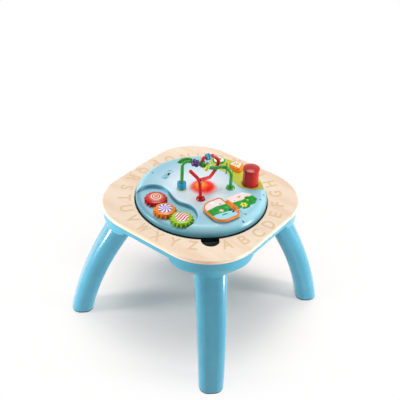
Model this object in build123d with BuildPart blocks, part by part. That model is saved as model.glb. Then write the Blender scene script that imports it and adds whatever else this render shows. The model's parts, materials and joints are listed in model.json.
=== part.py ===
from build123d import *
import os
from math import acos, atan2, cos, degrees, pi, radians, sin, sqrt, tan

# Activity table: a wooden ring on a moulded frame with four splayed legs and a lift-out play panel.
# Millimetres, +Z up, origin on the floor under the middle of the table, sides along X and Y.
os.makedirs("parts", exist_ok=True)

# General
overrun = 1.0
seat_gap = 0.3
running_gap = 0.06
push_gap = 0.1

# Wooden top
top_side = 400.0
top_corner_radius = 125.0
top_height = 321.0
top_thickness = 10.0
top_edge_round = 3.5
well_radius = 155.4
well_edge_round = 1.5
notch_width = 41.0
notch_reach = 24.6
notch_angle = -45.0

# Moulded frame
frame_inset = 3.0
frame_plate = 3.0
frame_wall = 3.0
skirt_height = 12.0
ledge_drop = 15.0
ledge_width = 14.0
bowl_depth = 49.0
bowl_width = 192.0
bowl_lip = 3.0
bowl_overrun = 2.0
bowl_floor = 4.0
bowl_level_shares = (0.0, 0.36, 0.72, 1.0)
bowl_width_shares = (1.0, 0.76, 0.36, 0.0)
collar_height = 16.0
collar_wall = 4.0
rib_thickness = 2.5
ribs_per_side = 3
rib_pitch = 56.0
boss_radius = 5.0
boss_height = 11.0
boss_offset = 28.0

# Legs and feet
leg_count = 4
leg_angles = {"front": -45.0, "right": 45.0, "rear": 135.0, "left": -135.0}
foot_offset = 287.0
leg_top_offset = 183.0
leg_toe_lean_share = 0.2
leg_top_radial = 66.0
leg_top_across = 74.0
leg_foot_radial = 53.0
leg_foot_across = 57.0
leg_round_share = 0.42
leg_wall = 3.0
leg_cap = 5.0
leg_level_shares = (0.0, 0.25, 0.5, 0.75, 1.0)
spigot_radius = 20.0
spigot_pilot_depth = 13.0
pad_thickness = 4.0
pad_inset = 1.0
pad_plug_height = 8.0

# Screws
leg_screw_radius = 2.5
leg_screw_head_radius = 6.0
leg_screw_head_height = 3.5
leg_screw_length = 14.0
leg_washer_thickness = 2.0
top_screw_radius = 1.75
top_screw_head_radius = 3.6
top_screw_head_height = 2.5
top_screw_bite = 6.0
small_screw_radius = 1.4
small_screw_head_radius = 3.2
small_screw_head_height = 2.0
small_screw_bite = 9.0

# Lift-out panel
panel_radius = 153.0
panel_proud = 25.0
panel_wall = 2.5
panel_floor_thickness = 3.0
panel_shoulder = 20.0
base_height = 20.0
base_foot_round = 3.0
terrace_depth = 12.0
terrace_crest_round = 5.0
terrace_wall_shares = (
    (-0.75, -0.71),
    (-0.705, -0.50),
    (-0.59, -0.355),
    (-0.42, -0.33),
    (-0.23, -0.42),
    (-0.05, -0.46),
    (0.12, -0.43),
    (0.24, -0.46),
    (0.34, -0.54),
    (0.405, -0.65),
    (0.425, -0.77),
    (0.405, -0.90),
    (0.36, -1.06),
)
terrace_outside_shares = ((0.4, -1.35), (-1.2, -1.3))
wavy_steps = 36
shell_screw_count = 6
shell_screw_circle = 139.0
shell_screw_start_angle = 8.0
shell_boss_radius = 4.5
shell_head_recess = 8.0

# Light
light_place_shares = (-0.013, 0.052)
lens_radius = 30.5
lens_rise = 8.0
lens_wall = 2.0
lens_flange = 3.0

# Leaf tray with its turning barrel and two push buttons
tray_depth = 6.0
tray_proud = 1.0
tray_gap = 0.2
tray_reach = 145.0
tray_edge_shares = (
    (-0.54, 0.92),
    (-0.44, 0.77),
    (-0.23, 0.61),
    (0.035, 0.60),
    (0.24, 0.485),
    (0.42, 0.43),
    (0.58, 0.50),
    (0.71, 0.63),
    (0.80, 0.74),
)
tray_outside_shares = ((1.0, 1.3), (-1.0, 1.3))
barrel_place_shares = (0.471, 0.608)
barrel_radius = 19.5
barrel_waist = 1.0
barrel_height = 46.0
barrel_wall = 2.5
barrel_well_depth = 3.0
barrel_well_gap = 1.2
barrel_post_radius = 8.0
barrel_web_drop = 12.0
barrel_screw_radius = 3.0
barrel_screw_head_radius = 7.0
barrel_screw_head_height = 2.5
barrel_screw_bite = 14.0
barrel_cap_rise = 4.0
barrel_cap_lip = 3.0
wedge_place_shares = (0.072, 0.80)
wedge_width = 36.0
wedge_depth = 27.0
wedge_taper_share = 0.62
wedge_round = 6.0
wedge_rise = 12.0
wedge_face_thickness = 1.2
wedge_face_margin = 3.5
dot_place_shares = (-0.275, 0.80)
dot_radius = 12.0
dot_rise = 5.0
dot_ring_width = 2.6
dot_ring_rise = 2.0
button_travel = 2.5
button_gap = 0.4
stem_radius = 4.0
stem_length = 8.0
stem_clip_radius = 5.6
stem_clip_height = 2.0

# Gear train
gear_module = 3.0
gear_teeth = 16
gear_pressure_angle = 20.0
gear_addendum_share = 0.87
gear_dedendum_share = 1.08
gear_backlash = 0.5
gear_thickness = 8.0
gear_post_radius = 5.0
gear_collar_radius = 8.5
gear_collar_height = 1.0
gear_post_play = 0.4
gear_cap_radius = 22.5
gear_cap_rise = 6.0
gear_cap_wall = 2.0
gear_middle_shares = (-0.092, -0.752)
gear_line_angles = {"red": 155.5, "green": 0.6}

# Flip book
book_place_shares = (0.634, -0.085)
book_angle = -16.0
page_length = 78.0
page_width = 60.0
page_thickness = 5.0
page_rim = 3.4
page_outer_round = 28.0
page_spine_round = 8.0
page_spine_gap = 6.0
page_axis_height = 6.5
insert_thickness = 4.0
knuckle_length = 38.0
knuckle_radius = 4.5
knuckle_barrel_length = 19.0
knuckle_gap = 0.4
bracket_width = 12.0
bracket_plate = 1.5
book_pin_radius = 1.5
print_thickness = 1.0
print_margin = 3.0
print_tuck = 4.0
print_reach = 131.0

# Bead tracks
tube_radius = 4.0
track_foot_radius = 11.0
track_foot_height = 4.0
track_foot_taper = 22.5
track_spigot_gap = 0.3
arch_left_foot_shares = (-0.245, -0.183)
arch_right_foot_shares = (0.312, 0.310)
arch_height = 80.0
arch_dip_share = 0.615
arch_dip_drop = 26.0
arch_right_drop = 14.0
arch_left_bend = 14.0
arch_dip_bend = 30.0
arch_right_bend = 24.0
hub_share = 0.40
hub_radius = 5.6
hub_length = 6.0
hub_socket_depth = 5.0
leaf_thickness = 2.6
leaf_length = 35.0
leaf_width = 15.0
leaf_lift = 70.0
leaf_start = -12.0
leaf_tilt = 9.0
sprig_height = 27.0
sprig_belly_share = 0.35
sprig_width = 16.0
sprig_along_share = 0.89
red_foot_shares = (0.148, -0.218)
red_post_height = 52.0
red_post_lean = -4.0
red_post_bend = 24.0
red_tip_reach = -25.0
red_tip_height = 70.0
red_tip_inward = -8.0
red_path_shares = (
    (0.545, 0.50, 0.565),
    (0.70, -0.30, 0.565),
    (0.745, -0.40, 0.83),
    (0.615, -0.25, 1.03),
    (0.44, -0.05, 1.03),
)
red_path_bends = (12.0, 9.0, 10.0, 9.0, 6.0)

# Beads
ring_bead_radius = 10.5
ring_bead_height = 12.0
ring_bead_grooves = 2
ring_bead_groove = 1.0
bead_gap = 0.3
plum_bead_radius = 9.0
plum_bead_length = 16.0
plum_bead_waist = 1.6
plum_share = 0.260
lime_bead_radius = 10.5
lime_bead_length = 9.0
lime_bead_round = 3.0
lime_share = 0.491
blue_bead_radius = 8.0
blue_bead_length = 11.0
blue_bead_waist = 1.4

# Power slider
slider_place_shares = (-0.63, -0.06)
slider_angle = 102.0
slider_track_length = 46.0
slider_track_width = 14.0
slider_track_depth = 1.2
slider_slot_length = 26.0
slider_slot_width = 5.0
slider_knob_length = 13.0
slider_knob_width = 10.0
slider_knob_rise = 3.0
slider_round_share = 0.3
slider_stem_length = 8.0
slider_stem_width = 4.4
slider_foot_length = 12.0
slider_foot_width = 9.0
slider_foot_height = 2.0
slider_travel = 14.0
switch_length = 46.0
switch_width = 18.0
switch_height = 8.0
switch_wall = 2.5

# Electronics and battery box
board_width = 84.0
board_length = 146.0
board_thickness = 1.6
board_height = 21.0
board_place_shares = (-0.105, 0.386)
board_post_radius = 3.5
board_post_inset = 5.0
led_radius = 5.0
led_height = 7.0
led_round_share = 0.9
chip_size = 14.0
chip_height = 2.0
chip_place_shares = (-0.12, 0.33)
tact_size = 7.0
speaker_place_shares = (-0.56, -0.07)
speaker_radius = 27.0
speaker_rim_height = 3.0
speaker_cone_height = 9.0
speaker_magnet_radius = 13.0
speaker_magnet_height = 6.0
grille_slot_width = 2.6
grille_slot_pitch = 6.0
grille_slots = 7
cell_radius = 7.1
cell_length = 50.0
cell_nub_radius = 2.7
cell_nub_length = 1.4
cell_count = 3
cell_pitch = 15.2
battery_place_shares = (0.30, -0.29)
contact_thickness = 0.8
contact_width = 9.0
box_wall = 2.0
box_gap = 0.6
door_thickness = 2.5
door_gap = 0.4
door_lip = 3.0
door_lip_thickness = 1.5


# Worked-out levels
wood_under = top_height - top_thickness
ledge_top = wood_under - ledge_drop
skirt_bottom = wood_under - skirt_height
leg_top = wood_under - bowl_depth
panel_floor = ledge_top
panel_top = top_height + panel_proud
panel_split = panel_floor + base_height
terrace_top = panel_top - terrace_depth
tray_floor = panel_top - tray_depth
tray_top = panel_top + tray_proud
frame_side = top_side - 2 * frame_inset
frame_corner_radius = top_corner_radius - frame_inset
floor_top = panel_floor + panel_floor_thickness


def on_panel(shares):
    """A place on the panel, from shares of the panel's radius."""
    return (shares[0] * panel_radius, shares[1] * panel_radius)


def spot(shares, height):
    """A level plane at a place on the panel."""
    x, y = on_panel(shares)
    return Plane(origin=(x, y, height))


def corner_plane(angle, reach, height):
    """A level plane out along one of the table's diagonals, with its X pointing outwards."""
    outward = Vector(cos(radians(angle)), sin(radians(angle)), 0)
    return Plane(origin=outward * reach + Vector(0, 0, height), x_dir=outward, z_dir=(0, 0, 1))


def ball_radius(radius, rise):
    """The radius of the ball that a crown of this radius and rise is cut from."""
    return (radius * radius + rise * rise) / (2 * rise)


def crown_height(radius, rise, distance):
    """How high a crown stands at a distance from its middle."""
    ball = ball_radius(radius, rise)
    return sqrt(ball * ball - distance * distance) - ball + rise


def keep(piece, name):
    """Labels a finished piece and writes it."""
    piece.part.label = name
    export_step(piece.part, f"parts/{name}.step")


# Wooden top with the panel's well and a half-round finger notch
notch_center = well_radius + notch_reach - notch_width / 2
with BuildPart() as table_top:
    with BuildSketch(Plane.XY.offset(wood_under)):
        RectangleRounded(top_side, top_side, top_corner_radius)
    extrude(amount=top_thickness)
    fillet(table_top.edges().filter_by(Plane.XY), top_edge_round)
    with BuildSketch(Plane.XY.offset(wood_under)):
        Circle(well_radius)
    extrude(amount=top_thickness, mode=Mode.SUBTRACT)
    with BuildSketch(corner_plane(notch_angle, notch_center, wood_under)):
        Circle(notch_width / 2)
        with Locations((-notch_width / 2, 0)):
            Rectangle(notch_width, notch_width)
    extrude(amount=top_thickness, mode=Mode.SUBTRACT)
    rim = table_top.faces().sort_by(Axis.Z)[-1].inner_wires()[0].edges()
    fillet(rim, well_edge_round)
    with Locations(Plane.XY.offset(wood_under)):
        with PolarLocations(0, leg_count):
            with Locations(
                ((top_side + 2 * well_radius) / 4, boss_offset),
                ((top_side + 2 * well_radius) / 4, -boss_offset),
            ):
                Cylinder(
                    top_screw_radius + push_gap,
                    top_screw_bite + seat_gap,
                    align=(Align.CENTER, Align.CENTER, Align.MIN),
                    mode=Mode.SUBTRACT,
                )
keep(table_top, "table_top")

# Corner bowl of the frame, and the hollow inside it, for one corner
bowl_angle = leg_angles["right"]
corner_reach = (frame_side / 2 - frame_corner_radius) * sqrt(2) + frame_corner_radius
well_wall_radius = well_radius + frame_wall
bowl_outer = corner_reach + bowl_overrun
bowl_inner = well_wall_radius - frame_wall / 2
bowl_top_radial = bowl_outer - bowl_inner
bowl_top_offset = (bowl_outer + bowl_inner) / 2
socket_radial = leg_top_radial + 2 * bowl_lip
socket_across = leg_top_across + 2 * bowl_lip


def bowl_section(level_share, width_share, wall, bottom):
    """The plane and the two half sizes of one level section of the bowl."""
    height = skirt_bottom + (bottom - skirt_bottom) * level_share
    offset_out = bowl_top_offset + (leg_top_offset - bowl_top_offset) * level_share
    radial = bowl_top_radial + (socket_radial - bowl_top_radial) * level_share
    across = socket_across + (bowl_width - socket_across) * width_share
    return corner_plane(bowl_angle, offset_out, height), radial / 2 - wall, across / 2 - wall


with BuildPart() as corner_bowl:
    for level_share, width_share in zip(bowl_level_shares, bowl_width_shares):
        section_plane, half_radial, half_across = bowl_section(level_share, width_share, 0, leg_top)
        with BuildSketch(section_plane):
            Ellipse(half_radial, half_across)
    loft()
    section_plane, half_radial, half_across = bowl_section(0, 1, 0, leg_top)
    with BuildSketch(section_plane):
        Ellipse(half_radial, half_across)
    extrude(amount=skirt_height)
    with BuildSketch(Plane.XY.offset(leg_top)):
        RectangleRounded(frame_side, frame_side, frame_corner_radius)
    extrude(amount=bowl_depth, mode=Mode.INTERSECT)

with BuildPart() as bowl_hollow:
    for level_share, width_share in zip(bowl_level_shares, bowl_width_shares):
        section_plane, half_radial, half_across = bowl_section(
            level_share, width_share, frame_wall, leg_top + bowl_floor
        )
        with BuildSketch(section_plane):
            Ellipse(half_radial, half_across)
    loft()
    section_plane, half_radial, half_across = bowl_section(0, 1, frame_wall, leg_top)
    with BuildSketch(section_plane):
        Ellipse(half_radial, half_across)
    extrude(amount=skirt_height)
    with BuildSketch(Plane.XY.offset(leg_top)):
        RectangleRounded(
            frame_side - 2 * frame_wall,
            frame_side - 2 * frame_wall,
            frame_corner_radius - frame_wall,
        )
    extrude(amount=bowl_depth, mode=Mode.INTERSECT)

# Moulded frame: plate, skirt, well with its ledge, corner bowls, leg collars, ribs and screw bosses
boss_reach = (top_side + 2 * well_radius) / 4
rib_length = frame_side / 2 - frame_wall - well_radius
with BuildPart() as apron_frame:
    with BuildSketch(Plane.XY.offset(skirt_bottom)):
        RectangleRounded(frame_side, frame_side, frame_corner_radius)
    extrude(amount=skirt_height)
    with BuildSketch(Plane.XY.offset(skirt_bottom)):
        RectangleRounded(
            frame_side - 2 * frame_wall,
            frame_side - 2 * frame_wall,
            frame_corner_radius - frame_wall,
        )
    extrude(amount=skirt_height - frame_plate, mode=Mode.SUBTRACT)
    with PolarLocations(0, leg_count):
        add(corner_bowl.part)
    with PolarLocations(0, leg_count):
        add(bowl_hollow.part, mode=Mode.SUBTRACT)
    with BuildSketch(Plane.XY.offset(ledge_top - frame_wall)):
        Circle(well_wall_radius)
    extrude(amount=ledge_drop + frame_wall)
    with BuildSketch(corner_plane(notch_angle, notch_center, ledge_top - frame_wall)):
        Circle(notch_width / 2 + frame_wall)
    extrude(amount=ledge_drop + frame_wall)
    for rib in range(ribs_per_side):
        rib_side = (rib - (ribs_per_side - 1) / 2) * rib_pitch
        with Locations(Plane.XY.offset(skirt_bottom)):
            with PolarLocations(0, leg_count):
                with Locations((well_radius + rib_length / 2, rib_side)):
                    Box(
                        rib_length,
                        rib_thickness,
                        skirt_height - frame_plate,
                        align=(Align.CENTER, Align.CENTER, Align.MIN),
                    )
    with Locations(Plane.XY.offset(wood_under - boss_height)):
        with PolarLocations(0, leg_count):
            with Locations((boss_reach, boss_offset), (boss_reach, -boss_offset)):
                Cylinder(boss_radius, boss_height, align=(Align.CENTER, Align.CENTER, Align.MIN))
                Cylinder(
                    top_screw_radius + push_gap,
                    boss_height,
                    align=(Align.CENTER, Align.CENTER, Align.MIN),
                    mode=Mode.SUBTRACT,
                )
    with BuildSketch(Plane.XY.offset(ledge_top)):
        Circle(well_radius)
    extrude(amount=ledge_drop, mode=Mode.SUBTRACT)
    with BuildSketch(corner_plane(notch_angle, notch_center, ledge_top)):
        Circle(notch_width / 2)
    extrude(amount=ledge_drop, mode=Mode.SUBTRACT)
    with BuildSketch(Plane.XY.offset(ledge_top - frame_wall)):
        Circle(well_radius - ledge_width)
    extrude(amount=frame_wall, mode=Mode.SUBTRACT)
    for angle in leg_angles.values():
        with BuildSketch(corner_plane(angle, leg_top_offset, leg_top)):
            Circle(spigot_radius + push_gap + collar_wall)
        extrude(amount=collar_height)
        with BuildSketch(corner_plane(angle, leg_top_offset, leg_top)):
            Circle(spigot_radius + push_gap)
        extrude(amount=collar_height, mode=Mode.SUBTRACT)
keep(apron_frame, "apron_frame")

# Legs: hollow, tapered and bowed outwards, each with a spigot on top and a rubber pad plugged in below
leg_height = leg_top - pad_thickness
toe_lean = leg_toe_lean_share
leg_bow = (foot_offset - leg_top_offset - toe_lean * leg_height) / leg_height**2


def leg_section(angle, level_share, wall):
    """The plane, length, width and corner radius of one level section of a leg."""
    rise = leg_height * level_share
    reach = foot_offset - toe_lean * rise - leg_bow * rise**2
    radial = leg_foot_radial + (leg_top_radial - leg_foot_radial) * level_share**2 - 2 * wall
    across = leg_foot_across + (leg_top_across - leg_foot_across) * level_share - 2 * wall
    plane = corner_plane(angle, reach, pad_thickness + rise)
    return plane, radial, across, leg_round_share * min(radial, across)


hollow_share = (leg_height - leg_cap) / leg_height
for leg_name, angle in leg_angles.items():
    with BuildPart() as leg:
        for level_share in leg_level_shares:
            section_plane, radial, across, corner = leg_section(angle, level_share, 0)
            with BuildSketch(section_plane):
                RectangleRounded(radial, across, corner)
        loft()
        with BuildSketch(corner_plane(angle, leg_top_offset, leg_top)):
            Circle(spigot_radius)
        extrude(amount=collar_height - seat_gap)
        for level_share in leg_level_shares:
            section_plane, radial, across, corner = leg_section(angle, level_share * hollow_share, leg_wall)
            with BuildSketch(section_plane):
                RectangleRounded(radial, across, corner)
        loft(mode=Mode.SUBTRACT)
        with BuildSketch(corner_plane(angle, leg_top_offset, leg_top + collar_height - seat_gap)):
            Circle(leg_screw_radius + push_gap)
        extrude(amount=-spigot_pilot_depth, mode=Mode.SUBTRACT)
    keep(leg, f"leg_{leg_name}")

    with BuildPart() as foot_pad:
        section_plane, radial, across, corner = leg_section(angle, 0, pad_inset)
        with BuildSketch(section_plane):
            RectangleRounded(radial, across, corner)
        extrude(amount=-pad_thickness)
        section_plane, radial, across, corner = leg_section(angle, 0, leg_wall + seat_gap)
        lean = toe_lean * pad_plug_height
        with BuildSketch(section_plane):
            with Locations((-lean / 2, 0)):
                RectangleRounded(radial - lean, across - lean, corner - lean)
        extrude(amount=pad_plug_height)
    keep(foot_pad, f"foot_pad_{leg_name}")

washer_seat = leg_top + collar_height
with BuildPart() as leg_washers:
    for angle in leg_angles.values():
        with BuildSketch(corner_plane(angle, leg_top_offset, washer_seat)):
            Circle(spigot_radius + push_gap + collar_wall)
            Circle(leg_screw_radius + push_gap, mode=Mode.SUBTRACT)
        extrude(amount=leg_washer_thickness)
keep(leg_washers, "leg_washers")

with BuildPart() as leg_screws:
    for angle in leg_angles.values():
        with BuildSketch(corner_plane(angle, leg_top_offset, washer_seat + leg_washer_thickness)):
            Circle(leg_screw_head_radius)
        extrude(amount=leg_screw_head_height)
        with BuildSketch(corner_plane(angle, leg_top_offset, washer_seat + leg_washer_thickness)):
            Circle(leg_screw_radius)
        extrude(amount=-leg_screw_length)
keep(leg_screws, "leg_screws")

with BuildPart() as top_screws:
    with Locations(Plane.XY.offset(wood_under - boss_height)):
        with PolarLocations(0, leg_count):
            with Locations((boss_reach, boss_offset), (boss_reach, -boss_offset)):
                Cylinder(
                    top_screw_head_radius,
                    top_screw_head_height,
                    align=(Align.CENTER, Align.CENTER, Align.MAX),
                )
                Cylinder(
                    top_screw_radius,
                    boss_height + top_screw_bite,
                    align=(Align.CENTER, Align.CENTER, Align.MIN),
                )
keep(top_screws, "top_screws")


# Outlines on the panel
def wavy_outline(wall_shares, outside_shares, shift):
    """The ground on the far side of a wavy wall, with the wall moved to its left by a distance."""
    with BuildLine() as wall_line:
        Spline(*[on_panel(shares) for shares in wall_shares])
    wall = wall_line.edges()[0]
    moved = []
    for step in range(wavy_steps + 1):
        tangent = wall.tangent_at(step / wavy_steps)
        moved.append(wall.position_at(step / wavy_steps) + Vector(-tangent.Y, tangent.X) * shift)
    outside = [on_panel(shares) for shares in outside_shares]
    with BuildLine() as outline:
        Spline(*moved)
        Polyline(moved[-1], *outside, moved[0])
    make_face(outline.edges())


def terrace_outline(grow):
    """The low terrace in front of the wavy wall, out past the panel's edge, grown by a margin."""
    wavy_outline(terrace_wall_shares, terrace_outside_shares, grow)


def tray_outline(grow):
    """The leaf tray, from its curved inner edge out to the panel's rounded shoulder, grown by a margin."""
    wavy_outline(tray_edge_shares, tray_outside_shares, -grow)
    Circle(tray_reach + grow, mode=Mode.INTERSECT)


def panel_profile(wall):
    """Half of the panel's upper section, inset by a wall."""
    outer = panel_radius - wall
    bend = panel_shoulder - wall
    flat = panel_radius - panel_shoulder
    low = panel_top - panel_shoulder
    middle = (flat + bend * cos(radians(45)), low + bend * sin(radians(45)))
    with BuildLine() as outline:
        Polyline(
            (flat, panel_top - wall),
            (0, panel_top - wall),
            (0, panel_split),
            (outer, panel_split),
            (outer, low),
        )
        ThreePointArc((outer, low), middle, (flat, panel_top - wall))
    make_face(outline.edges())


with BuildPart() as plateau:
    with BuildSketch(Plane.XY.offset(terrace_top)):
        Circle(panel_radius + overrun)
    extrude(amount=terrace_depth)
    with BuildSketch(Plane.XY.offset(terrace_top)):
        terrace_outline(0)
    extrude(amount=terrace_depth, mode=Mode.SUBTRACT)
    crest = plateau.faces().sort_by(Axis.Z)[-1].edges().filter_by(GeomType.BSPLINE)
    fillet(crest, terrace_crest_round)

with BuildPart() as terrace_cutter:
    with BuildSketch(Plane.XY.offset(terrace_top)):
        Circle(panel_radius + overrun)
    extrude(amount=terrace_depth)
    add(plateau.part, mode=Mode.SUBTRACT)

with BuildPart() as panel_hollow:
    with BuildSketch(Plane.XZ):
        panel_profile(panel_wall)
    revolve(axis=Axis.Z)
    with BuildSketch(Plane.XY.offset(terrace_top - panel_wall)):
        terrace_outline(panel_wall + terrace_crest_round / 2)
    extrude(amount=panel_top, mode=Mode.SUBTRACT)
    with BuildSketch(Plane.XY.offset(tray_floor - panel_wall)):
        tray_outline(panel_wall)
    extrude(amount=panel_top, mode=Mode.SUBTRACT)

# Gear places: the middle gear drives one on each side, each with a gap where the other has a tooth
gear_pitch_radius = gear_module * gear_teeth / 2
gear_middle = on_panel(gear_middle_shares)
gear_step = 360 / gear_teeth
gear_places = {"orange": gear_middle}
gear_phases = {"orange": gear_line_angles["red"]}
for gear_name, line_angle in gear_line_angles.items():
    line = radians(line_angle)
    gear_places[gear_name] = (
        gear_middle[0] + 2 * gear_pitch_radius * cos(line),
        gear_middle[1] + 2 * gear_pitch_radius * sin(line),
    )
    tooth_shift = (gear_phases["orange"] - line_angle) % gear_step
    gear_phases[gear_name] = line_angle + 180 - tooth_shift + gear_step / 2
gear_seat = terrace_top + gear_collar_height
gear_top = gear_seat + gear_thickness
gear_post_top = gear_top + gear_post_play

# Book places
book_plane = spot(book_place_shares, panel_top).rotated((0, 0, book_angle))
panel_axis_in_book = book_plane.to_local_coords(Vector(0, 0, panel_top))
pin_plane = Plane(
    origin=book_plane.origin + Vector(0, 0, page_axis_height),
    x_dir=book_plane.y_dir,
    z_dir=book_plane.x_dir,
)

# Bead track places: the arch stands in an upright plane through its two feet
arch_left = Vector(*on_panel(arch_left_foot_shares), panel_top)
arch_right = Vector(*on_panel(arch_right_foot_shares), panel_top)
arch_along = (arch_right - arch_left).normalized()
arch_span = (arch_right - arch_left).length
arch_front = Vector(arch_along.Y, -arch_along.X, 0)
arch_plane = Plane(origin=arch_left, x_dir=arch_along, z_dir=arch_front)
red_foot = Vector(*on_panel(red_foot_shares), panel_top)
red_foot_along = (red_foot - arch_left).dot(arch_along)
red_foot_front = (red_foot - arch_left).dot(arch_front)


def in_arch(along, front, height):
    """A point given along the arch, in front of it and above the panel."""
    return arch_left + arch_along * along + arch_front * front + Vector(0, 0, height)


shell_screw_spots = PolarLocations(
    shell_screw_circle, shell_screw_count, start_angle=shell_screw_start_angle
).local_locations
track_feet = (arch_left, arch_right, red_foot)
slider_plane = spot(slider_place_shares, panel_top).rotated((0, 0, slider_angle))

# Upper shell of the panel, with its terrace, tray pocket, gear posts and screw bosses
with BuildPart() as panel_top_shell:
    with BuildSketch(Plane.XZ):
        panel_profile(0)
    revolve(axis=Axis.Z)
    add(panel_hollow.part, mode=Mode.SUBTRACT)
    with Locations(Plane.XY.offset(panel_split)):
        with Locations(*shell_screw_spots):
            Cylinder(
                shell_boss_radius,
                panel_top - panel_wall - panel_split,
                align=(Align.CENTER, Align.CENTER, Align.MIN),
            )
    add(terrace_cutter.part, mode=Mode.SUBTRACT)
    with BuildSketch(Plane.XY.offset(tray_floor)):
        tray_outline(0)
    extrude(amount=tray_depth + overrun, mode=Mode.SUBTRACT)
    with Locations(Plane.XY.offset(panel_split)):
        with Locations(*shell_screw_spots):
            Cylinder(
                small_screw_radius + push_gap,
                small_screw_bite + seat_gap,
                align=(Align.CENTER, Align.CENTER, Align.MIN),
                mode=Mode.SUBTRACT,
            )
    with BuildSketch(spot(light_place_shares, panel_top)):
        Circle(lens_radius + push_gap)
    extrude(amount=-panel_wall, mode=Mode.SUBTRACT)
    for foot in track_feet:
        with BuildSketch(Plane(origin=foot)):
            Circle(tube_radius + track_spigot_gap)
        extrude(amount=-panel_wall, mode=Mode.SUBTRACT)
    for shares in (wedge_place_shares, dot_place_shares):
        with BuildSketch(spot(shares, tray_floor)):
            Circle(stem_radius + push_gap)
        extrude(amount=-panel_wall, mode=Mode.SUBTRACT)
    for place in gear_places.values():
        with BuildSketch(Plane(origin=(*place, terrace_top))):
            Circle(gear_collar_radius)
        extrude(amount=gear_collar_height)
        with BuildSketch(Plane(origin=(*place, terrace_top))):
            Circle(gear_post_radius)
        extrude(amount=gear_post_top - terrace_top)
        with BuildSketch(Plane(origin=(*place, gear_post_top))):
            Circle(small_screw_radius + push_gap)
        extrude(amount=-small_screw_bite - seat_gap, mode=Mode.SUBTRACT)
    with BuildSketch(slider_plane):
        SlotOverall(slider_track_length, slider_track_width)
    extrude(amount=-slider_track_depth, mode=Mode.SUBTRACT)
    with BuildSketch(slider_plane):
        SlotOverall(slider_slot_length, slider_slot_width)
    extrude(amount=-panel_wall, mode=Mode.SUBTRACT)
keep(panel_top_shell, "panel_top_shell")

with BuildPart() as gear_screws:
    for place in gear_places.values():
        with BuildSketch(Plane(origin=(*place, gear_post_top))):
            Circle(gear_collar_radius)
        extrude(amount=small_screw_head_height)
        with BuildSketch(Plane(origin=(*place, gear_post_top))):
            Circle(small_screw_radius)
        extrude(amount=-small_screw_bite)
keep(gear_screws, "gear_screws")

# Lower shell of the panel: dish, screw columns, board posts, battery box and speaker grille
board_plane = spot(board_place_shares, floor_top + board_height)
board_spots = GridLocations(
    board_width - 2 * board_post_inset, board_length - 2 * board_post_inset, 2, 2
).local_locations
box_inner_length = cell_length + cell_nub_length + 2 * contact_thickness + 2 * box_gap
box_inner_width = (cell_count - 1) * cell_pitch + 2 * cell_radius + 2 * box_gap
box_inner_height = door_thickness + 2 * cell_radius + 2 * box_gap
box_plane = spot(battery_place_shares, panel_floor)
speaker_plane = spot(speaker_place_shares, floor_top)
column_height = panel_split - panel_floor
with BuildPart() as panel_base_shell:
    with BuildSketch(Plane.XZ):
        with BuildLine():
            Polyline(
                (0, panel_floor),
                (panel_radius, panel_floor),
                (panel_radius, panel_split),
                (panel_radius - panel_wall, panel_split),
                (panel_radius - panel_wall, floor_top),
                (0, floor_top),
                close=True,
            )
        make_face()
    revolve(axis=Axis.Z)
    foot_edge = panel_base_shell.edges().group_by(Axis.Z)[0].sort_by(SortBy.RADIUS)[-1]
    fillet(foot_edge, base_foot_round)
    with Locations(Plane.XY.offset(panel_floor)):
        with Locations(*shell_screw_spots):
            Cylinder(shell_boss_radius, column_height, align=(Align.CENTER, Align.CENTER, Align.MIN))
            Cylinder(
                small_screw_radius + push_gap,
                column_height,
                align=(Align.CENTER, Align.CENTER, Align.MIN),
                mode=Mode.SUBTRACT,
            )
            Cylinder(
                small_screw_head_radius + push_gap,
                shell_head_recess,
                align=(Align.CENTER, Align.CENTER, Align.MIN),
                mode=Mode.SUBTRACT,
            )
    with Locations(Plane(origin=board_plane.origin - Vector(0, 0, board_height))):
        with Locations(*board_spots):
            Cylinder(board_post_radius, board_height, align=(Align.CENTER, Align.CENTER, Align.MIN))
    with Locations(board_plane):
        with Locations(*board_spots):
            Cylinder(
                small_screw_radius + push_gap,
                small_screw_bite + seat_gap,
                align=(Align.CENTER, Align.CENTER, Align.MAX),
                mode=Mode.SUBTRACT,
            )
    with BuildSketch(box_plane):
        Rectangle(box_inner_length + 2 * box_wall, box_inner_width + 2 * box_wall)
    extrude(amount=box_inner_height + box_wall)
    with BuildSketch(box_plane):
        Rectangle(box_inner_length, box_inner_width)
    extrude(amount=box_inner_height, mode=Mode.SUBTRACT)
    with BuildSketch(box_plane):
        Rectangle(box_inner_length + 2 * door_lip, box_inner_width + 2 * door_lip)
    extrude(amount=door_lip_thickness, mode=Mode.SUBTRACT)
    with BuildSketch(speaker_plane):
        Circle(speaker_radius + push_gap + box_wall)
        Circle(speaker_radius + push_gap, mode=Mode.SUBTRACT)
    extrude(amount=speaker_rim_height)
    with BuildSketch(Plane(origin=speaker_plane.origin - Vector(0, 0, panel_floor_thickness))):
        for slot in range(grille_slots):
            slot_side = (slot - (grille_slots - 1) / 2) * grille_slot_pitch
            slot_length = 2 * sqrt((speaker_radius - grille_slot_pitch) ** 2 - slot_side**2)
            with Locations((0, slot_side)):
                SlotOverall(slot_length, grille_slot_width)
    extrude(amount=panel_floor_thickness, mode=Mode.SUBTRACT)
keep(panel_base_shell, "panel_base_shell")

with BuildPart() as shell_screws:
    with Locations(Plane.XY.offset(panel_floor + shell_head_recess)):
        with Locations(*shell_screw_spots):
            Cylinder(
                small_screw_head_radius,
                small_screw_head_height,
                align=(Align.CENTER, Align.CENTER, Align.MAX),
            )
            Cylinder(
                small_screw_radius,
                column_height - shell_head_recess + small_screw_bite,
                align=(Align.CENTER, Align.CENTER, Align.MIN),
            )
keep(shell_screws, "shell_screws")

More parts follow.
